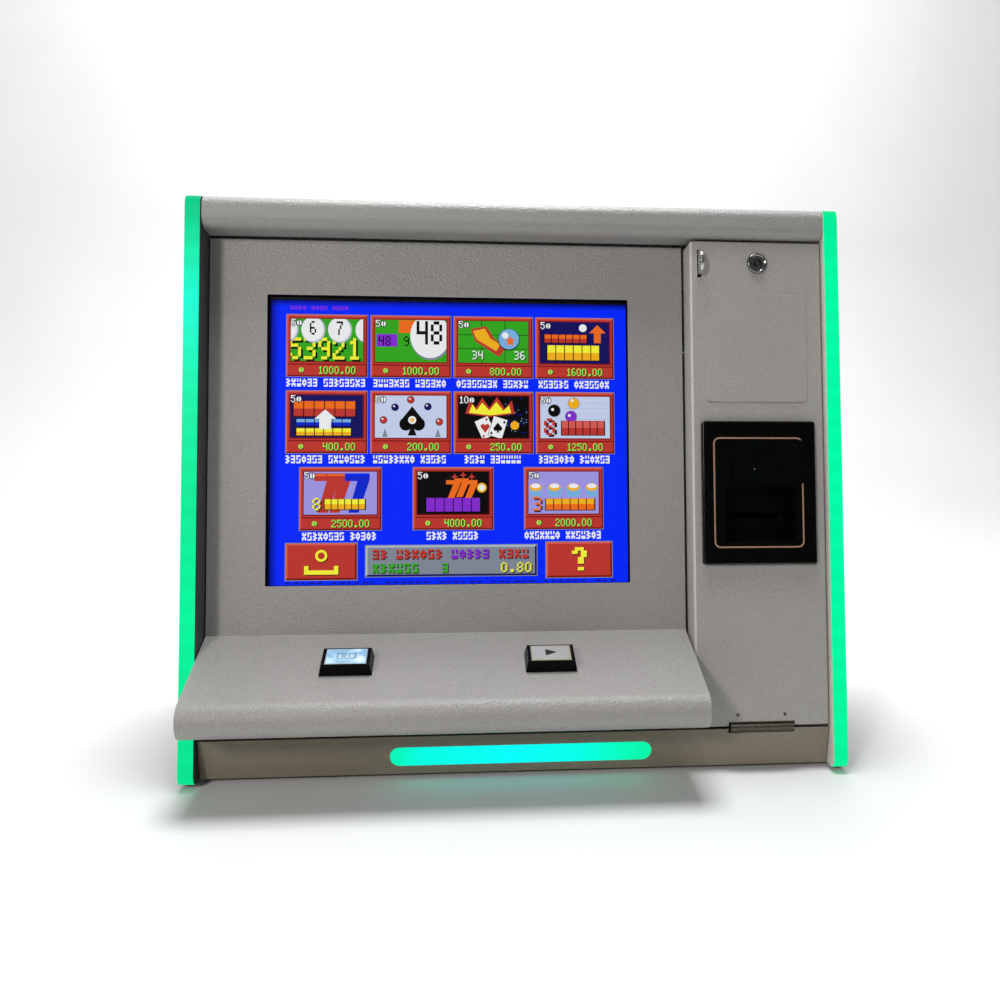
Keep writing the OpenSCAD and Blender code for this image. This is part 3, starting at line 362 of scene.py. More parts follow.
CAP_LIT = lit_cap("lit_cap", (0.34, 0.44, 0.50), 0.40, (0.10, 0.28, 0.42), (0.45, 0.70, 0.82))
CAP_PLAIN = lit_cap("cream_cap", (0.34, 0.33, 0.21))
PLATE_LIT = lit_cap("lit_cap_plate", (0.24, 0.35, 0.42), 0.85, (0.05, 0.24, 0.42), (0.80, 0.95, 1.00))
PLATE_PLAIN = lit_cap("grey_cap_plate", (0.38, 0.39, 0.37))


# ---------------------------------------------------------------- carried-over parts
def smooth(o, angle=32):
    """Smooth shading, with a hard line wherever two faces meet at more than the angle."""
    o.data.shade_smooth()
    w = o.modifiers.new("weighted_normals", "WEIGHTED_NORMAL")
    w.keep_sharp = True
    w.weight = 60
    sharp = math.cos(math.radians(angle))
    bm = bmesh.new()
    bm.from_mesh(o.data)
    for e in bm.edges:
        if len(e.link_faces) == 2:
            e.smooth = e.link_faces[0].normal.dot(e.link_faces[1].normal) > sharp
    bm.to_mesh(o.data)
    bm.free()


def link(name, mesh, body, material):
    """Puts a mesh in the scene with its materials, and makes it ride a body."""
    o = bpy.data.objects.new(name, mesh)
    bpy.context.scene.collection.objects.link(o)
    for m in material if isinstance(material, list) else [material]:
        mesh.materials.append(m)
    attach(o, body)
    return o


BODY_OF = {n: b for b, ns in frame["record"]["behaviour"]["bodies"].items() for n in ns}
OUTWARD, UPWARD = direction(0, 0, 1), direction(0, 1, 0)
# Parts whose edges have a paint of their own: a lighter one that is a painted highlight, or a glossier one,
# then the painted shade that their low side has
RIM = {"main_door_panel": [BODY_HIGHLIGHT], "bill_door_panel": [BILL_HIGHLIGHT],
       "blanking_plate": [BILL_HIGHLIGHT, BILL_SHADE], "acceptor_bezel": [BLACK_EDGE],
       "ticket_button_housing": [BLACK_EDGE], "play_button_housing": [BLACK_EDGE]}


def paint_rim(node, f, rounded_off):
    """Which of a part's paints a face has: 0 for the part's own, or else its place in RIM from 1."""
    # The bill door's left-facing flank takes the painted light
    if node == "bill_door_panel":
        return int(f.normal.x < -0.3)
    if node == "acceptor_bezel" and 0.15 < f.normal.dot(OUTWARD) < 0.985:
        return 1
    if f not in rounded_off:
        return 0
    # Rounded edges take the painted highlight, and the blanking plate's right and lower ones take the painted
    # shade
    return 2 if node == "blanking_plate" and f.normal.x - f.normal.dot(UPWARD) > 0.1 else 1


def remake(node, material, edge):
    """Stands a copy of a CAD part in its place, with its edges rounded by `edge` millimetres."""
    src = frame["nodes"][node]
    bm = bmesh.new()
    bm.from_mesh(src.data)
    bmesh.ops.remove_doubles(bm, verts=bm.verts, dist=2e-6)
    bmesh.ops.dissolve_limit(bm, angle_limit=math.radians(0.4), verts=bm.verts, edges=bm.edges)
    bmesh.ops.recalc_face_normals(bm, faces=bm.faces)
    rounded_off = set()
    if edge:
        lim = math.radians(28)
        pick = [e for e in bm.edges if len(e.link_faces) == 2 and e.calc_face_angle(0) > lim]
        rounded_off = set(bmesh.ops.bevel(
            bm, geom=pick, offset=edge / 1000, offset_type="OFFSET", segments=3 if edge >= 0.6 else 2,
            profile=0.5, affect="EDGES", clamp_overlap=True, loop_slide=True)["faces"])
    for f in bm.faces:
        f.smooth = True
        f.material_index = 0
    if node in RIM:
        bm.normal_update()
        for f in bm.faces:
            f.material_index = paint_rim(node, f, rounded_off)
        material = [material, *RIM[node]]
    mesh = bpy.data.meshes.new(node + "_finished")
    bm.to_mesh(mesh)
    bm.free()
    o = link(node + "_finished", mesh, BODY_OF[node], material)
    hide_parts(node)
    smooth(o, 50)


# Which material each part has, and how far its edges are rounded, in millimetres
PAINTS = [
    (["top_hood"], HOOD, 1.1), (["main_door_panel"], BODY, 0.9), (["bill_door_panel"], BILL, 0.7),
    (["blanking_plate"], BILL, 0.9), (["base_front_panel"], BASE, 0.7),
    (["back_panel", "bottom_panel", "frame_post", "header_rail"], INNER, 0.4),
    (["side_board_left", "side_board_right"], LAMINATE, 0.6),
    (["edge_diffuser_left"], LIT_LEFT, 1.0), (["edge_diffuser_right"], LIT_RIGHT, 1.0),
    (["edge_led_tape_left", "edge_led_tape_right", "base_led_board"], TAPE, 0.0),
    (["base_light_lens"], LENS, 0.35), (["padlock_staple"], NICKEL, 0.4),
    (["slide_bolt_body", "slide_bolt", "power_supply", "speaker", "fan_guard", "board_standoffs"], ZINC, 0.3),
    (["game_board"], PCB, 0.0), (["lcd_board"], LCD_PCB, 0.0),
    (["fan_frame", "fan_rotor", "power_inlet"], BLACK_DULL, 0.3), (["power_rocker"], ROCKER, 0.4),
    (["rubber_feet"], RUBBER, 0.8), (["panel_screws"], DARK_STEEL, 0.12),
    (["main_hinge_frame_leaf", "main_hinge_door_leaf", "main_hinge_pin", "lcd_brackets",
      "acceptor_brackets", "lock_cam"], ZINC, 0.2),
    (["screen_gasket"], GASKET, 0.0), (["touch_glass"], GLASS, 0.3), (["lcd_panel"], FRAME_BLACK, 0.3),
    (["ticket_button_housing", "play_button_housing", "ticket_button_nut", "play_button_nut"], BLACK, 0.5),
    (["ticket_button_switch", "play_button_switch"], SWITCH, 0.3),
    (["ticket_button_cap"], CAP_LIT, 0.7), (["play_button_cap"], CAP_PLAIN, 0.7),
    (["acceptor_bezel"], BLACK, 0.5), (["bezel_trim"], COPPER, 0.12), (["acceptor_mouth"], MOUTH, 0.35),
    (["acceptor_head"], NYLON, 0.6), (["cash_box"], CASH, 0.5),
    (["lock_body", "lock_plug"], CHROME, 0.35), (["lock_nut"], ZINC, 0.3),
    (["bill_hinge_base_leaf", "bill_hinge_door_leaf", "bill_hinge_pin"], HINGE, 0.15),
]
for nodes, material, edge in PAINTS:
    for node in nodes:
        remake(node, material, edge)

# ---------------------------------------------------------------- the display's picture
BLUE = srgb(4, 40, 250)
INK = {
    "blue": BLUE, "blue2": srgb(10, 40, 205), "red": srgb(188, 56, 48), "red_hi": srgb(214, 92, 86),
    "red_lo": srgb(122, 22, 22), "white": srgb(236, 238, 240), "grey": srgb(128, 136, 150),
    "grey_hi": srgb(176, 184, 196), "green": srgb(150, 240, 84), "leaf": srgb(52, 166, 32),
    "yellow": srgb(244, 240, 58), "gold": srgb(240, 176, 32), "orange": srgb(238, 108, 30),
    "black": srgb(10, 8, 10), "navy": srgb(22, 18, 92), "purple": srgb(132, 44, 208),
    "pale": srgb(196, 208, 236), "sky": srgb(120, 176, 222), "violet": srgb(158, 150, 226),
}


# The lit part of the display, in millimetres across and up, and the pitch of its thin layers
SHOWN = (-260.2, 192.7, 115.6, 493.3)
LCD_N = DOOR_N - 8.2
LAYER, LAYER_T = 0.05, 0.04
TOP_Z = face(0, SHOWN[3], LCD_N).z


def picture_ground():
    """The display's blue ground: a faint pixel weave and the soft fall-off of its backlight."""
    m = Mat("display_ground", shade(BLUE, 0.05), 0.5, spec=0.05)
    weave = m.node("ShaderNodeTexBrick", {"Vector": m.where((1, 1, 1), (math.radians(90), 0, 0)),
                   "Scale": 190.0, "Color1": (*BLUE, 1), "Color2": (*shade(BLUE, 0.90), 1),
                   "Mortar": (*shade(BLUE, 0.78), 1), "Mortar Size": 0.10}).outputs["Color"]
    rim = m.ramp(m.math("MULTIPLY", m.math("SUBTRACT", TOP_Z, m.axis(2)), 140.0), (0.0, 0.08), (1.0, 1.0))
    from_left = m.math("SUBTRACT", m.axis(0), SHOWN[0] / 1000)
    side = m.ramp(m.math("MULTIPLY", from_left, 110.0), (0.0, 0.10), (1.0, 1.0))
    m.wire(m.mix(1.0, m.mix(1.0, weave, rim, "MULTIPLY"), side, "MULTIPLY"), "Emission Color")
    m.set("Emission Strength", 1.30)
    return m.m


class Picture:
    """Flat shapes laid over each other as thin tiles on the display, in millimetres across and up."""

    def __init__(self, n0):
        self.bm, self.n0, self.inks, self.clip = bmesh.new(), n0, list(INK), None

    def clipped(self, pts):
        """The part of an outline that lies inside the clip rectangle."""
        x0, u0, x1, u1 = self.clip
        for axis, edge, side in ((0, x0, 1), (0, x1, -1), (1, u0, 1), (1, u1, -1)):
            kept = []
            for a, b in zip(pts, pts[1:] + pts[:1]):
                da, db = side * (a[axis] - edge), side * (b[axis] - edge)
                if da >= 0:
                    kept.append(a)
                if da * db < 0:
                    t = da / (da - db)
                    kept.append((a[0] + t * (b[0] - a[0]), a[1] + t * (b[1] - a[1])))
            pts = kept
        return pts

    def shape(self, pts, level, ink):
        if self.clip:
            pts = self.clipped(list(pts))
            if len(pts) < 3:
                return
        low = self.n0 + LAYER * level
        top = low + LAYER_T
        a = [self.bm.verts.new(face(x, u, low)) for x, u in pts]
        b = [self.bm.verts.new(face(x, u, top)) for x, u in pts]
        k, n = self.inks.index(ink), len(pts)
        fs = [self.bm.faces.new(b), self.bm.faces.new(a[::-1])]
        fs += [self.bm.faces.new((a[i], a[(i + 1) % n], b[(i + 1) % n], b[i])) for i in range(n)]
        for f in fs:
            f.material_index = k

    def rect(self, x0, u0, x1, u1, level, ink):
        self.shape([(x0, u0), (x1, u0), (x1, u1), (x0, u1)], level, ink)

    def disc(self, x, u, r, level, ink, squash=1.0, sides=24):
        self.shape([(x + r * math.cos(2 * math.pi * i / sides),
                     u + squash * r * math.sin(2 * math.pi * i / sides)) for i in range(sides)], level, ink)

    def star(self, x, u, r, points, level, ink, inner=0.45):
        self.shape([(x + (r if i % 2 == 0 else r * inner) * math.sin(math.pi * i / points),
                     u + (r if i % 2 == 0 else r * inner) * math.cos(math.pi * i / points))
                    for i in range(2 * points)][::-1], level, ink)

    def grid(self, rows, x, u, pitch, level, ink):
        """Rows of a small bitmap, top row first, with its lower left corner at x, u."""
        for j, row in enumerate(reversed(rows)):
            i = 0
            while i < len(row):
                if row[i] == "#":
                    k = i
                    while k < len(row) and row[k] == "#":
                        k += 1
                    self.rect(x + i * pitch[0], u + j * pitch[1], x + k * pitch[0],
                              u + (j + 1) * pitch[1] + 0.02, level, ink)
                    i = k
                else:
                    i += 1

    def number(self, text, x, u, w, h, level, ink, shadow=None, gap=1.0, rim=False):
        """Digits on a 4 by 7 grid, with a shadow to the lower right or a rim all round."""
        pitch = (w / 4, h / 7)
        for ch in text:
            if shadow:
                for dx, du in ((-0.6, 0), (0.6, 0), (0, -0.6), (0, 0.6)) if rim else ((0.7, -0.7),):
                    self.grid(DIGITS[ch], x + pitch[0] * dx, u + pitch[1] * du, pitch, level, shadow)
            self.grid(DIGITS[ch], x, u, pitch, level + 1, ink)
            x += w + gap * pitch[0]

    def finish(self, name, body):
        bmesh.ops.recalc_face_normals(self.bm, faces=self.bm.faces)
        mesh = bpy.data.meshes.new(name)
        self.bm.to_mesh(mesh)
        self.bm.free()
        inks = [picture_ground() if k == "blue" else glow("ink_" + k, INK[k]) for k in self.inks]
        return link(name, mesh, body, inks)


DIGITS = {
    "0": [".##.", "#..#", "#..#", "#..#", "#..#", "#..#", ".##."],
    "1": ["..#.", ".##.", "..#.", "..#.", "..#.", "..#.", ".###"],
    "2": [".##.", "#..#", "...#", "..#.", ".#..", "#...", "####"],
    "3": ["###.", "...#", "...#", ".##.", "...#", "...#", "###."],
    "4": ["#..#", "#..#", "#..#", "####", "...#", "...#", "...#"],
    "5": ["####", "#...", "###.", "...#", "...#", "#..#", ".##."],
    "6": [".##.", "#...", "#...", "###.", "#..#", "#..#", ".##."],
    "7": ["####", "...#", "..#.", "..#.", ".#..", ".#..", ".#.."],
    "8": [".##.", "#..#", "#..#", ".##.", "#..#", "#..#", ".##."],
    "9": [".##.", "#..#", "#..#", ".###", "...#", "...#", ".##."],
    ".": ["....", "....", "....", "....", "....", ".##.", ".##."],
}
# Marks that stand where a game's name would be: strokes that spell nothing
MARKS = [
    ["###", "..#", "###", "..#", "###"], ["#.#", "###", ".#.", "###", "#.#"],
    ["##.", ".##", "##.", ".##", "##."], ["#.#", "#.#", "...", "###", "###"],
    ["###", "#..", "#.#", "..#", "###"], [".#.", "###", "#.#", "###", ".#."],
]
rng = random.Random(7)


def marks(pic, x, u, w, h, count, level, ink, gaps=()):
    """A row of marks in random order, with gaps where words would part."""
    pitch = (w / 3, h / 5)
    for i in range(count):
        if i not in gaps:
            pic.grid(MARKS[rng.randrange(len(MARKS))], x, u, pitch, level, ink)
        x += w * 1.28


def suit(pic, kind, x, u, r, level, ink):
    """A playing card's suit, about 2 r high."""
    if kind == "diamond":
        pic.shape([(x, u - r), (x + 0.72 * r, u), (x, u + r), (x - 0.72 * r, u)], level, ink)
    elif kind == "heart":
        for d in (-0.42, 0.42):
            pic.disc(x + d * r, u + 0.3 * r, 0.47 * r, level, ink)
        side, waist = 0.84 * r, u + 0.12 * r
        pic.shape([(x, u - r), (x + side, waist), (x, u + 0.5 * r), (x - side, waist)], level, ink)
    elif kind == "spade":
        for d in (-0.42, 0.42):
            pic.disc(x + d * r, u - 0.22 * r, 0.45 * r, level, ink)
        side, waist = 0.83 * r, u - 0.05 * r
        pic.shape([(x, u - 0.4 * r), (x + side, waist), (x, u + r), (x - side, waist)], level, ink)
        pic.shape([(x - 0.3 * r, u - r), (x + 0.3 * r, u - r), (x, u - 0.2 * r)], level, ink)
    else:
        for dx, du in ((-0.45, -0.18), (0.45, -0.18), (0, 0.5)):
            pic.disc(x + dx * r, u + du * r, 0.42 * r, level, ink)
        pic.shape([(x - 0.3 * r, u - r), (x + 0.3 * r, u - r), (x, u + 0.1 * r)], level, ink)


def card(pic, x, u, w, h, tilt, level, kind, ink):
    """A playing card with one large and two small suits."""
    c, s = math.cos(tilt), math.sin(tilt)
    place = lambda a, b: (x + a * c - b * s, u + a * s + b * c)
    for k, (grow, colour) in enumerate(((0.5, "black"), (0.0, "white"))):
        a, b = w / 2 + grow, h / 2 + grow
        pic.shape([place(-a, -b), place(a, -b), place(a, b), place(-a, b)], level + k, colour)
    suit(pic, kind, x, u, w * 0.36, level + 2, ink)
    for d in (-1, 1):
        q = place(d * w * 0.33, d * h * 0.36)
        suit(pic, kind, q[0], q[1], w * 0.11, level + 2, ink)


def bars(pic, x0, u0, x1, u1, level, top, low):
    """A banner of upright blocks, lit from above."""
    pic.rect(x0 - 0.5, u0 - 0.8, x1 + 0.8, u1, level, "black")
    w = (x1 - x0) / 6
    for i in range(6):
        a, b = x0 + i * w + 0.5, x0 + (i + 1) * w - 0.5
        pic.rect(a, u0, b, u1, level + 1, low)
        pic.rect(a, (u0 + u1) / 2, b, u1 - 0.4, level + 2, top)


GROUNDS = ("leaf", "leaf", "leaf", "navy", "navy", "pale", "black", "pale", "violet", "black", "violet")


def art(pic, k, x0, u0, x1, u1):
    """The k-th game's picture, inside x0..x1 and u0..u1."""
    w, h = x1 - x0, u1 - u0

    def X(t):
        return x0 + t * w

    def U(t):
        return u0 + t * h

    def at(*places):
        return [(X(a), U(b)) for a, b in places]

    pic.rect(x0, u0, x1, u1, 3, GROUNDS[k])
    pic.clip = (x0, u0, x1, u1)
    if k == 0:
        for i, d in enumerate("53921"):
            pic.number(d, X(-0.02 + 0.20 * i), U(0.04), 12.0, 23, 4 + 2 * i, "yellow", "black")
        for t, d in ((0.31, "6"), (0.68, "7"), (1.06, None), (-0.06, None)):
            pic.disc(X(t), U(0.74), 12.6, 15, "grey_hi", 1.1, 32)
            pic.disc(X(t) - 0.7, U(0.75), 11.6, 16, "white", 1.1, 32)
            if d:
                pic.number(d, X(t) - 3.6, U(0.62), 6.6, 14.5, 17, "black")
    elif k == 1:
        for i in range(3):
            for j in range(3):
                ink = {3: "purple", 7: "orange"}.get(i + 3 * j, "leaf")
                across, up_ = 0.31 * i, 0.33 * j
                pic.rect(X(0.02 + across), U(0.03 + up_), X(0.31 + across), U(0.33 + up_), 4, ink)
        pic.number("48", X(0.05), U(0.38), 5.6, 10.5, 5, "black")
        pic.number("9", X(0.40), U(0.38), 5.6, 10.5, 5, "black")
        pic.disc(X(0.78), U(0.60), 21.6, 6, "grey", 1.15, 40)
        pic.disc(X(0.77), U(0.63), 20.8, 7, "white", 1.15, 40)
        pic.number("48", X(0.58), U(0.42), 12, 25, 8, "black")
    elif k == 2:
        for t in (0.33, 0.66):
            pic.rect(X(t), u0, X(t) + 0.6, u1, 4, "black")
            pic.rect(x0, U(t), x1, U(t) + 0.6, 4, "black")
        pic.number("34", X(0.20), U(0.08), 5, 9, 4, "white", "black")
        pic.number("36", X(0.80), U(0.08), 5, 9, 4, "white", "black")
        pic.shape(at((0.18, 0.80), (0.24, 0.52), (0.58, 0.14), (0.70, 0.40),
                   (0.52, 0.56), (0.40, 0.88)), 6, "red")
        pic.shape(at((0.21, 0.76), (0.26, 0.56), (0.54, 0.28), (0.60, 0.44),
                   (0.46, 0.58), (0.38, 0.82)), 7, "gold")
        pic.disc(X(0.72), U(0.56), 11.8, 8, "black")
        pic.disc(X(0.72), U(0.57), 11, 9, "sky")
        pic.disc(X(0.67), U(0.66), 3.4, 10, "white")
        pic.star(X(0.74), U(0.52), 6.2, 5, 10, "orange")
    elif k == 3:
        bars(pic, X(0.10), U(0.08), X(0.86), U(0.44), 4, "yellow", "gold")
        bars(pic, X(0.06), U(0.50), X(0.68), U(0.70), 4, "orange", "red")
        pic.shape(at((0.78, 0.50), (0.88, 0.50), (0.88, 0.74), (0.95, 0.74),
                   (0.83, 0.94), (0.71, 0.74), (0.78, 0.74)), 6, "orange")
        pic.disc(X(0.62), U(0.86), 4.2, 5, "white")
    elif k == 4:
        bars(pic, X(0.04), U(0.50), X(0.90), U(0.86), 4, "orange", "red")
        bars(pic, X(0.08), U(0.28), X(0.84), U(0.44), 4, "sky", "blue2")
        bars(pic, X(0.08), U(0.05), X(0.84), U(0.22), 4, "yellow", "gold")
        pic.shape(at((0.40, 0.20), (0.56, 0.20), (0.56, 0.44), (0.63, 0.44),
                   (0.48, 0.66), (0.33, 0.44), (0.40, 0.44)), 8, "white")
    elif k == 5:
        suit(pic, "spade", X(0.52), U(0.40), 15.5, 5, "black")
        pic.disc(X(0.52), U(0.42), 4.2, 6, "white")
        pic.star(X(0.52), U(0.42), 3.2, 5, 7, "gold")
        for t, v, ink in ((0.12, 0.42, "red"), (0.28, 0.72, "navy"), (0.50, 0.90, "red"),
                          (0.74, 0.74, "navy"), (0.90, 0.38, "red")):
            pic.disc(X(t), U(v), 4.0, 5, "black")
            pic.disc(X(t), U(v), 3.4, 6, ink)
            pic.disc(X(t) - 1.1, U(v) + 1.1, 1.0, 7, "white")
        for t in (0.1, 0.84):
            pic.shape(at((t, 0.02), (t + 0.08, 0.02), (t + 0.04, 0.22)), 5, "grey")
    elif k == 6:
        for i in range(46):
            a, b = rng.uniform(0.66, 0.98), rng.uniform(0.05, 0.95)
            pic.rect(X(a), U(b), X(a) + 0.9, U(b) + 0.9, 4, ("blue", "sky", "navy")[i % 3])
        pic.shape(at((0.10, 0.58), (0.16, 0.90), (0.25, 0.72), (0.34, 0.96), (0.44, 0.72),
                   (0.55, 0.98), (0.66, 0.70), (0.76, 0.90), (0.80, 0.58), (0.45, 0.50)),
                  5, "red")
        pic.shape(at((0.15, 0.60), (0.20, 0.80), (0.26, 0.66), (0.34, 0.84), (0.44, 0.66),
                   (0.54, 0.86), (0.64, 0.65), (0.72, 0.78), (0.75, 0.60), (0.45, 0.54)),
                  6, "yellow")
        card(pic, X(0.38), U(0.24), 15, 21, 0.42, 8, "heart", "red")
        card(pic, X(0.56), U(0.25), 15, 21, -0.30, 12, "spade", "black")
        pic.disc(X(0.80), U(0.30), 4.6, 12, "gold")
    elif k == 7:
        for i in range(4):
            pic.rect(X(0.35), U(0.45 + 0.13 * i), x1, U(0.45 + 0.13 * i) + 0.5, 4, "grey_hi")
        for t, v, r, down, ink in ((0.20, 0.66, 7.0, 0, "black"), (0.48, 0.88, 6.4, 2, "gold"),
                                   (0.44, 0.52, 6.6, 0, "purple")):
            pic.disc(X(t), U(v) - down, r, 6, "grey")
            pic.disc(X(t), U(v) - down, r - 0.6, 7, ink)
            pic.disc(X(t) - 1.8, U(v) + 1.2, 1.6, 8, "white")
        pic.number("8", X(0.05), U(0.07), 12, 18, 9, "red", "black")
        bars(pic, X(0.30), U(0.08), X(0.92), U(0.42), 9, "red_hi", "red")
    elif k == 8:
        for j, (t, ink, hi) in enumerate(((0.14, "red", "orange"), (0.30, "red", "orange"),
                                          (0.56, "blue2", "blue"))):
            pic.shape(at((t, 0.96), (t, 0.78), (t + 0.17, 0.78), (t + 0.05, 0.04), (t + 0.19, 0.04),
                         (t + 0.34, 0.80), (t + 0.34, 0.96)), 4 + 2 * j, ink)
            pic.rect(X(t + 0.02), U(0.90), X(t + 0.31), U(0.94), 5 + 2 * j, hi)
        pic.number("8", X(0.12), U(0.10), 8, 13, 11, "yellow", "black")
        bars(pic, X(0.28), U(0.12), X(0.84), U(0.36), 11, "yellow", "gold")
    elif k == 9:
        for j, (t, v) in enumerate(((0.40, 0.42), (0.52, 0.46), (0.64, 0.42))):
            seven = at((t, v + 0.38), (t, v + 0.28), (t + 0.10, v + 0.28), (t + 0.02, v - 0.06),
                       (t + 0.11, v - 0.06), (t + 0.20, v + 0.29), (t + 0.20, v + 0.38))
            pic.shape(seven, 4 + 2 * j, "orange")
            pic.star(X(t + 0.12), U(v + 0.46), 4.0, 4, 5 + 2 * j, "red", 0.4)
        bars(pic, X(0.12), U(0.06), X(0.88), U(0.38), 11, "purple", "purple")
        pic.disc(X(0.90), U(0.62), 5.2, 12, "gold")
        pic.disc(X(0.90), U(0.62), 3.4, 13, "white")
    else:
        for i in range(4):
            cx = X(0.10 + 0.27 * i) if i < 3 else X(0.90)
            wide, foot = (8.4, 6.4) if 0 < i < 3 else (6.8, 5.4)
            low, high = U(0.40), U(0.62)
            pic.shape([(cx - wide, high), (cx - foot, low), (cx + foot, low), (cx + wide, high)], 5, "sky")
            pic.disc(cx, U(0.63), 6.6, 6, "gold", 0.62)
            pic.disc(cx, U(0.66), 5.0, 7, "white", 0.5)
        pic.number("3", X(0.06), U(0.07), 9, 15, 8, "orange", "black")
        bars(pic, X(0.24), U(0.09), X(0.94), U(0.36), 8, "gold", "orange")
    pic.clip = None


def raised(pic, x0, u0, x1, u1, line, b, ink, hi, lo):
    """A raised panel: a grey line round it, and a bevel b wide, light at its top and left."""
    pic.rect(x0 - line, u0 - line, x1 + line, u1 + line, 1, "grey")
    pic.rect(x0, u0, x1, u1, 2, ink)
    pic.shape([(x0, u1), (x0 + b, u1 - b), (x1 - b, u1 - b), (x1, u1)][::-1], 3, hi)
    pic.shape([(x0, u0), (x0 + b, u0 + b), (x0 + b, u1 - b), (x0, u1)][::-1], 3, hi)
    pic.shape([(x1, u0), (x1, u1), (x1 - b, u1 - b), (x1 - b, u0 + b)], 3, lo)
    pic.shape([(x0, u0), (x1, u0), (x1 - b, u0 + b), (x0 + b, u0 + b)], 3, lo)


TILE_H = 65.6


def tile(pic, k, x, u, w, price):
    """A game's tile: a raised red frame, its picture, a price bar, and marks below it."""
    top = u + TILE_H
    raised(pic, x, u, x + w, top, 0.6, 1.6, "red", "red_hi", "red_lo")
    pic.rect(x + 3.4, u + 15.2, x + w - 3.4, top - 3.4, 2.6, "red_lo")
    art(pic, k, x + 4.4, u + 16.4, x + w - 4.6, top - 4.4)
    pic.rect(x + 1.6, u + 12.4, x + w - 1.6, u + 13.6, 3, "red_lo")
    pic.disc(x + 16, u + 6.6, 2.8, 4, "black")
    pic.disc(x + 15.4, u + 7.0, 2.6, 5, "green")
    pic.rect(x + 15.0, u + 4.9, x + 15.8, u + 9.1, 6, "red")
    pic.number(price, x + w - 11.5 - len(price) * 5.7, u + 3.0, 4.7, 8.0, 4, "green", "black", 0.85)
    wide = 5.6 if k == 6 else 0
    pic.number("10" if k == 6 else "5", x + 5.0, top - 12.4, 4.5, 7.6, 19, "white", "black", rim=True)
    pic.disc(x + 13.2 + wide, top - 8.9, 3.2, 19, "black", 1.15)
    pic.disc(x + 13.2 + wide, top - 8.9, 2.5, 20, "white", 1.15)
    pic.rect(x + 12.8 + wide, top - 12.6, x + 13.6 + wide, top - 5.2, 21, "black")
    count = (15, 14, 14, 14, 15, 14, 11, 14, 14, 10, 15)[k]
    marks(pic, x + w / 2 - count * 5.6 / 2, u - 10.6, 4.3, 8.4, count, 2, "white", (count // 2 + k % 3 - 1,))


pic = Picture(LCD_N + 0.02)
pic.rect(*SHOWN, 0, "blue")
PRICES = ("1000.00", "1000.00", "800.00", "1600.00", "400.00", "200.00", "250.00", "1250.00", "2500.00",
          "4000.00", "2000.00")
for k in range(8):
    tile(pic, k, -243.6 + 87.3 * (k % 4), 412.2 if k < 4 else 331.6, 83.8, PRICES[k])
for k in range(8, 11):
    tile(pic, k, -229.2 + 117.2 * (k - 8), 251.0, 84.2, PRICES[k])
for x0, u0, x1, u1, ink, hi, lo in ((-243, 199.4, -170, 237.4, "red", "red_hi", "red_lo"),
                                    (28, 199.6, 98.6, 237.3, "red", "red_hi", "red_lo"),
                                    (-161, 202.4, 18, 234.6, "grey", "grey_hi", "navy")):
    raised(pic, x0, u0, x1, u1, 0.8, 2, ink, hi, lo)
# Left key: a coin dropping into a tray; right key: a question mark
for k, (dx, du, ink) in enumerate(((0.9, -0.9, "black"), (0, 0, "yellow"))):
    pic.disc(-206.5 + dx, 224.5 + du, 6.2, 4 + 2 * k, ink)
    pic.disc(-206.5, 224.5, 3.6, 7, "red")
    pic.shape([(-224 + dx, 205 + du), (-189 + dx, 205 + du), (-189 + dx, 214 + du), (-193.5 + dx, 214 + du),
               (-193.5 + dx, 209.5 + du), (-219.5 + dx, 209.5 + du), (-219.5 + dx, 214 + du),
               (-224 + dx, 214 + du)], 4 + 2 * k, ink)
    pic.grid([".###.", "##.##", "...##", "..##.", "..##.", ".....", "..##."], 55.5 + dx, 207.0 + du,
             (3.2, 3.5), 4 + 2 * k, ink)
# Between the keys: two rows of marks, each drawn once as its own shadow
for x, u, n, ink, skip in ((-154, 220.5, 9, "red", (2,)), (-72, 220.5, 5, "purple", ()),
                           (-22, 220.5, 4, "red", ()), (-154, 206.0, 7, "leaf", (6,)),
                           (-90, 206.0, 2, "leaf", (0,))):
    same_marks = rng.getstate()
    marks(pic, x + 0.8, u - 0.9, 6.4, 9.8, n, 4, "black", skip)
    rng.setstate(same_marks)
    marks(pic, x, u, 6.4, 9.8, n, 6, ink, skip)
pic.number("0.80", -20, 206.0, 6.8, 10.2, 4, "yellow", "black")
marks(pic, -240, 483.0, 3.4, 4.2, 14, 2, "purple", (4, 9))
for i in range(44):
    if i % 7 != 5:
        x = -243 + 7.9 * i
        pic.rect(x, 195.4, x + rng.uniform(3, 6.4), 196.8, 2, "navy")
pic.finish("display_picture", "main_door")


# ---------------------------------------------------------------- small added pieces
def plate(name, body, material, frame_at, outline, low, high, round_edge=0.15):
    """A thin plate: an outline, placed by frame_at and raised from low to high in millimetres."""
    bm = bmesh.new()
    a = [bm.verts.new(frame_at(x, y, low)) for x, y in outline]
    b = [bm.verts.new(frame_at(x, y, high)) for x, y in outline]
    n = len(outline)
    bm.faces.new(b)
    bm.faces.new(a[::-1])
    for i in range(n):
        bm.faces.new((a[i], a[(i + 1) % n], b[(i + 1) % n], b[i]))
    bmesh.ops.recalc_face_normals(bm, faces=bm.faces)
    if round_edge:
        rim = [e for e in bm.edges if e.verts[0] in b and e.verts[1] in b]
        bmesh.ops.bevel(bm, geom=rim, offset=round_edge / 1000, segments=2, profile=0.5, affect="EDGES",
                        clamp_overlap=True)
    mesh = bpy.data.meshes.new(name)
    bm.to_mesh(mesh)
    bm.free()
    o = link(name, mesh, body, material)
    smooth(o, 50)
    return o


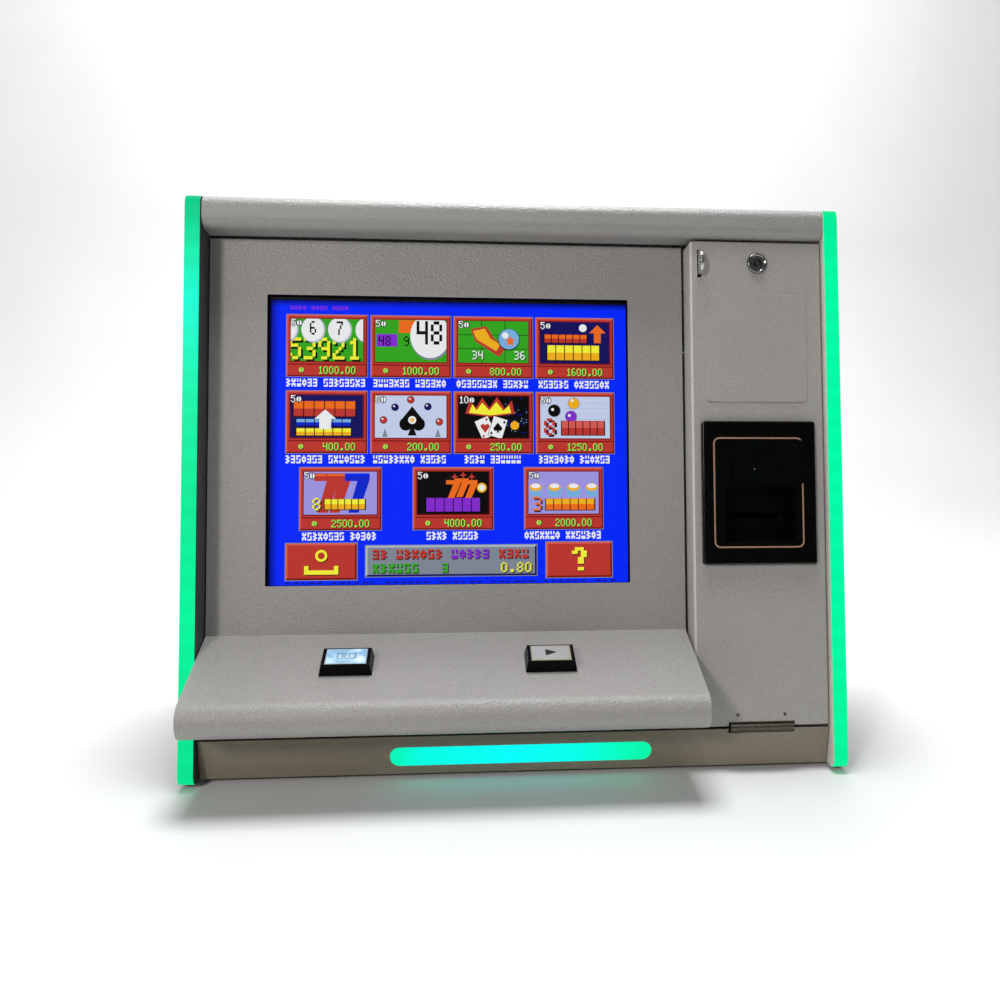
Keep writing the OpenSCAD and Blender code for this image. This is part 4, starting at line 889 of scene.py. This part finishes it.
def rounded(x0, y0, x1, y1, r, steps=6):
    """The outline of a rectangle with round corners."""
    pts = []
    for cx, cy, a0 in ((x1 - r, y0 + r, -90), (x1 - r, y1 - r, 0),
                       (x0 + r, y1 - r, 90), (x0 + r, y0 + r, 180)):
        for i in range(steps + 1):
            a = math.radians(a0 + 90 * i / steps)
            pts.append((cx + r * math.cos(a), cy + r * math.sin(a)))
    return pts


def on_cap(which):
    """Places points on a button's cap: across and up from its middle, and out of the deck."""
    return lambda x, y, h: deck(BUTTON_X[which] + x, BUTTON_S - y, h)


PLATE_LOW, PLATE_TOP, LEGEND_TOP = 11.75, 12.1, 12.2
for which, plate_mat, slot in (("ticket", PLATE_LIT, "cap_lit"), ("play", PLATE_PLAIN, "cap_plain")):
    plate(which + "_cap_plate", which + "_button", plate_mat, on_cap(which),
          rounded(-18.3, -11.0, 18.3, 11.5, 1.4), PLATE_LOW, PLATE_TOP, 0.2)
INKED = plastic("legend_ink", (0.006, 0.008, 0.010), 0.5, spec=0.2)
plate("play_legend", "play_button", INKED, on_cap("play"),
      [(-5.4, -5.4), (6.2, 0.2), (-5.4, 5.8)], PLATE_TOP - 0.02, LEGEND_TOP, 0)
LEGEND_BLUE = plastic("legend_blue", (0.05, 0.13, 0.20), 0.4)
TICKET_STROKES = (
    (-9, -4.6, 9, -3.7), (-9, 3.7, 9, 4.6), (-9, -4.6, -8.1, 4.6), (8.1, -4.6, 9, 4.6),
    (2.8, -2.6, 3.5, 2.6), (-5.5, -1.6, -0.5, -0.8), (-5.5, 0.8, 0.8, 1.6),
)
for i, (a, b, c, d) in enumerate(TICKET_STROKES):
    plate(f"ticket_legend_{i}", "ticket_button", LEGEND_BLUE, on_cap("ticket"),
          [(a, b), (c, b), (c, d), (a, d)], PLATE_TOP - 0.02, LEGEND_TOP, 0)

bm = bmesh.new()
bmesh.ops.create_icosphere(bm, subdivisions=3, radius=0.0011,
                           matrix=Matrix.Translation(face(242.6, 311.8, -0.75)))
mesh = bpy.data.meshes.new("acceptor_screw")
bm.to_mesh(mesh)
bm.free()
smooth(link("acceptor_screw", mesh, "bill_door", CHROME))

# ---------------------------------------------------------------- stage and light
scene = bpy.context.scene
scene.view_settings.view_transform = "Standard"
scene.view_settings.look = "None"
world = bpy.data.worlds.new("studio")
scene.world = world
world.use_nodes = True
sky = world.node_tree.nodes["Background"]
sky.inputs["Color"].default_value = (0.94, 0.97, 1.0, 1)
sky.inputs["Strength"].default_value = 0.12

# A pale floor that sweeps up behind the machine, in metres
SWEEP_Y, SWEEP_R, HALF, WALL_H = 1.2, 0.8, 10.0, 6.0
profile = [(-HALF, 0.0), (SWEEP_Y, 0.0)]
for i in range(1, 13):
    a = math.radians(7.5 * i)
    profile.append((SWEEP_Y + SWEEP_R * math.sin(a), SWEEP_R - SWEEP_R * math.cos(a)))
profile.append((SWEEP_Y + SWEEP_R, WALL_H))
bm = bmesh.new()
rows = [[bm.verts.new((x, y, z)) for y, z in profile] for x in (-HALF, HALF)]
for i in range(len(profile) - 1):
    bm.faces.new((rows[0][i], rows[1][i], rows[1][i + 1], rows[0][i + 1]))
mesh = bpy.data.meshes.new("studio_floor")
bm.to_mesh(mesh)
bm.free()
mesh.shade_smooth()
floor = bpy.data.objects.new("studio_floor", mesh)
scene.collection.objects.link(floor)
pale = Mat("pale_floor", (0.80, 0.80, 0.80), 0.7, spec=0.2)
pale.wire(pale.ramp(pale.noise(3, 2.0), (0.3, 0.79), (0.7, 0.82)), "Base Color")
mesh.materials.append(pale.m)


def area(name, at, to, size, power, colour=(1, 1, 1)):
    """A round soft light at a place, turned towards another."""
    light = bpy.data.lights.new(name, "AREA")
    light.shape, light.size, light.energy, light.color = "DISK", size, power, colour
    o = bpy.data.objects.new(name, light)
    scene.collection.objects.link(o)
    o.location = at
    o.rotation_euler = (Vector(to) - Vector(at)).to_track_quat("-Z", "Y").to_euler()


area("key", (-1.22, -2.30, 1.32), (0.0, -0.07, 0.33), 0.42, 26.5, (1.0, 0.98, 0.945))
area("top", (0.0, -0.02, 2.40), (0.0, -0.10, 0.20), 1.00, 46, (0.95, 0.975, 1.0))
area("backdrop", (0.0, 0.95, 2.70), (0.0, 2.0, 0.9), 1.60, 55)
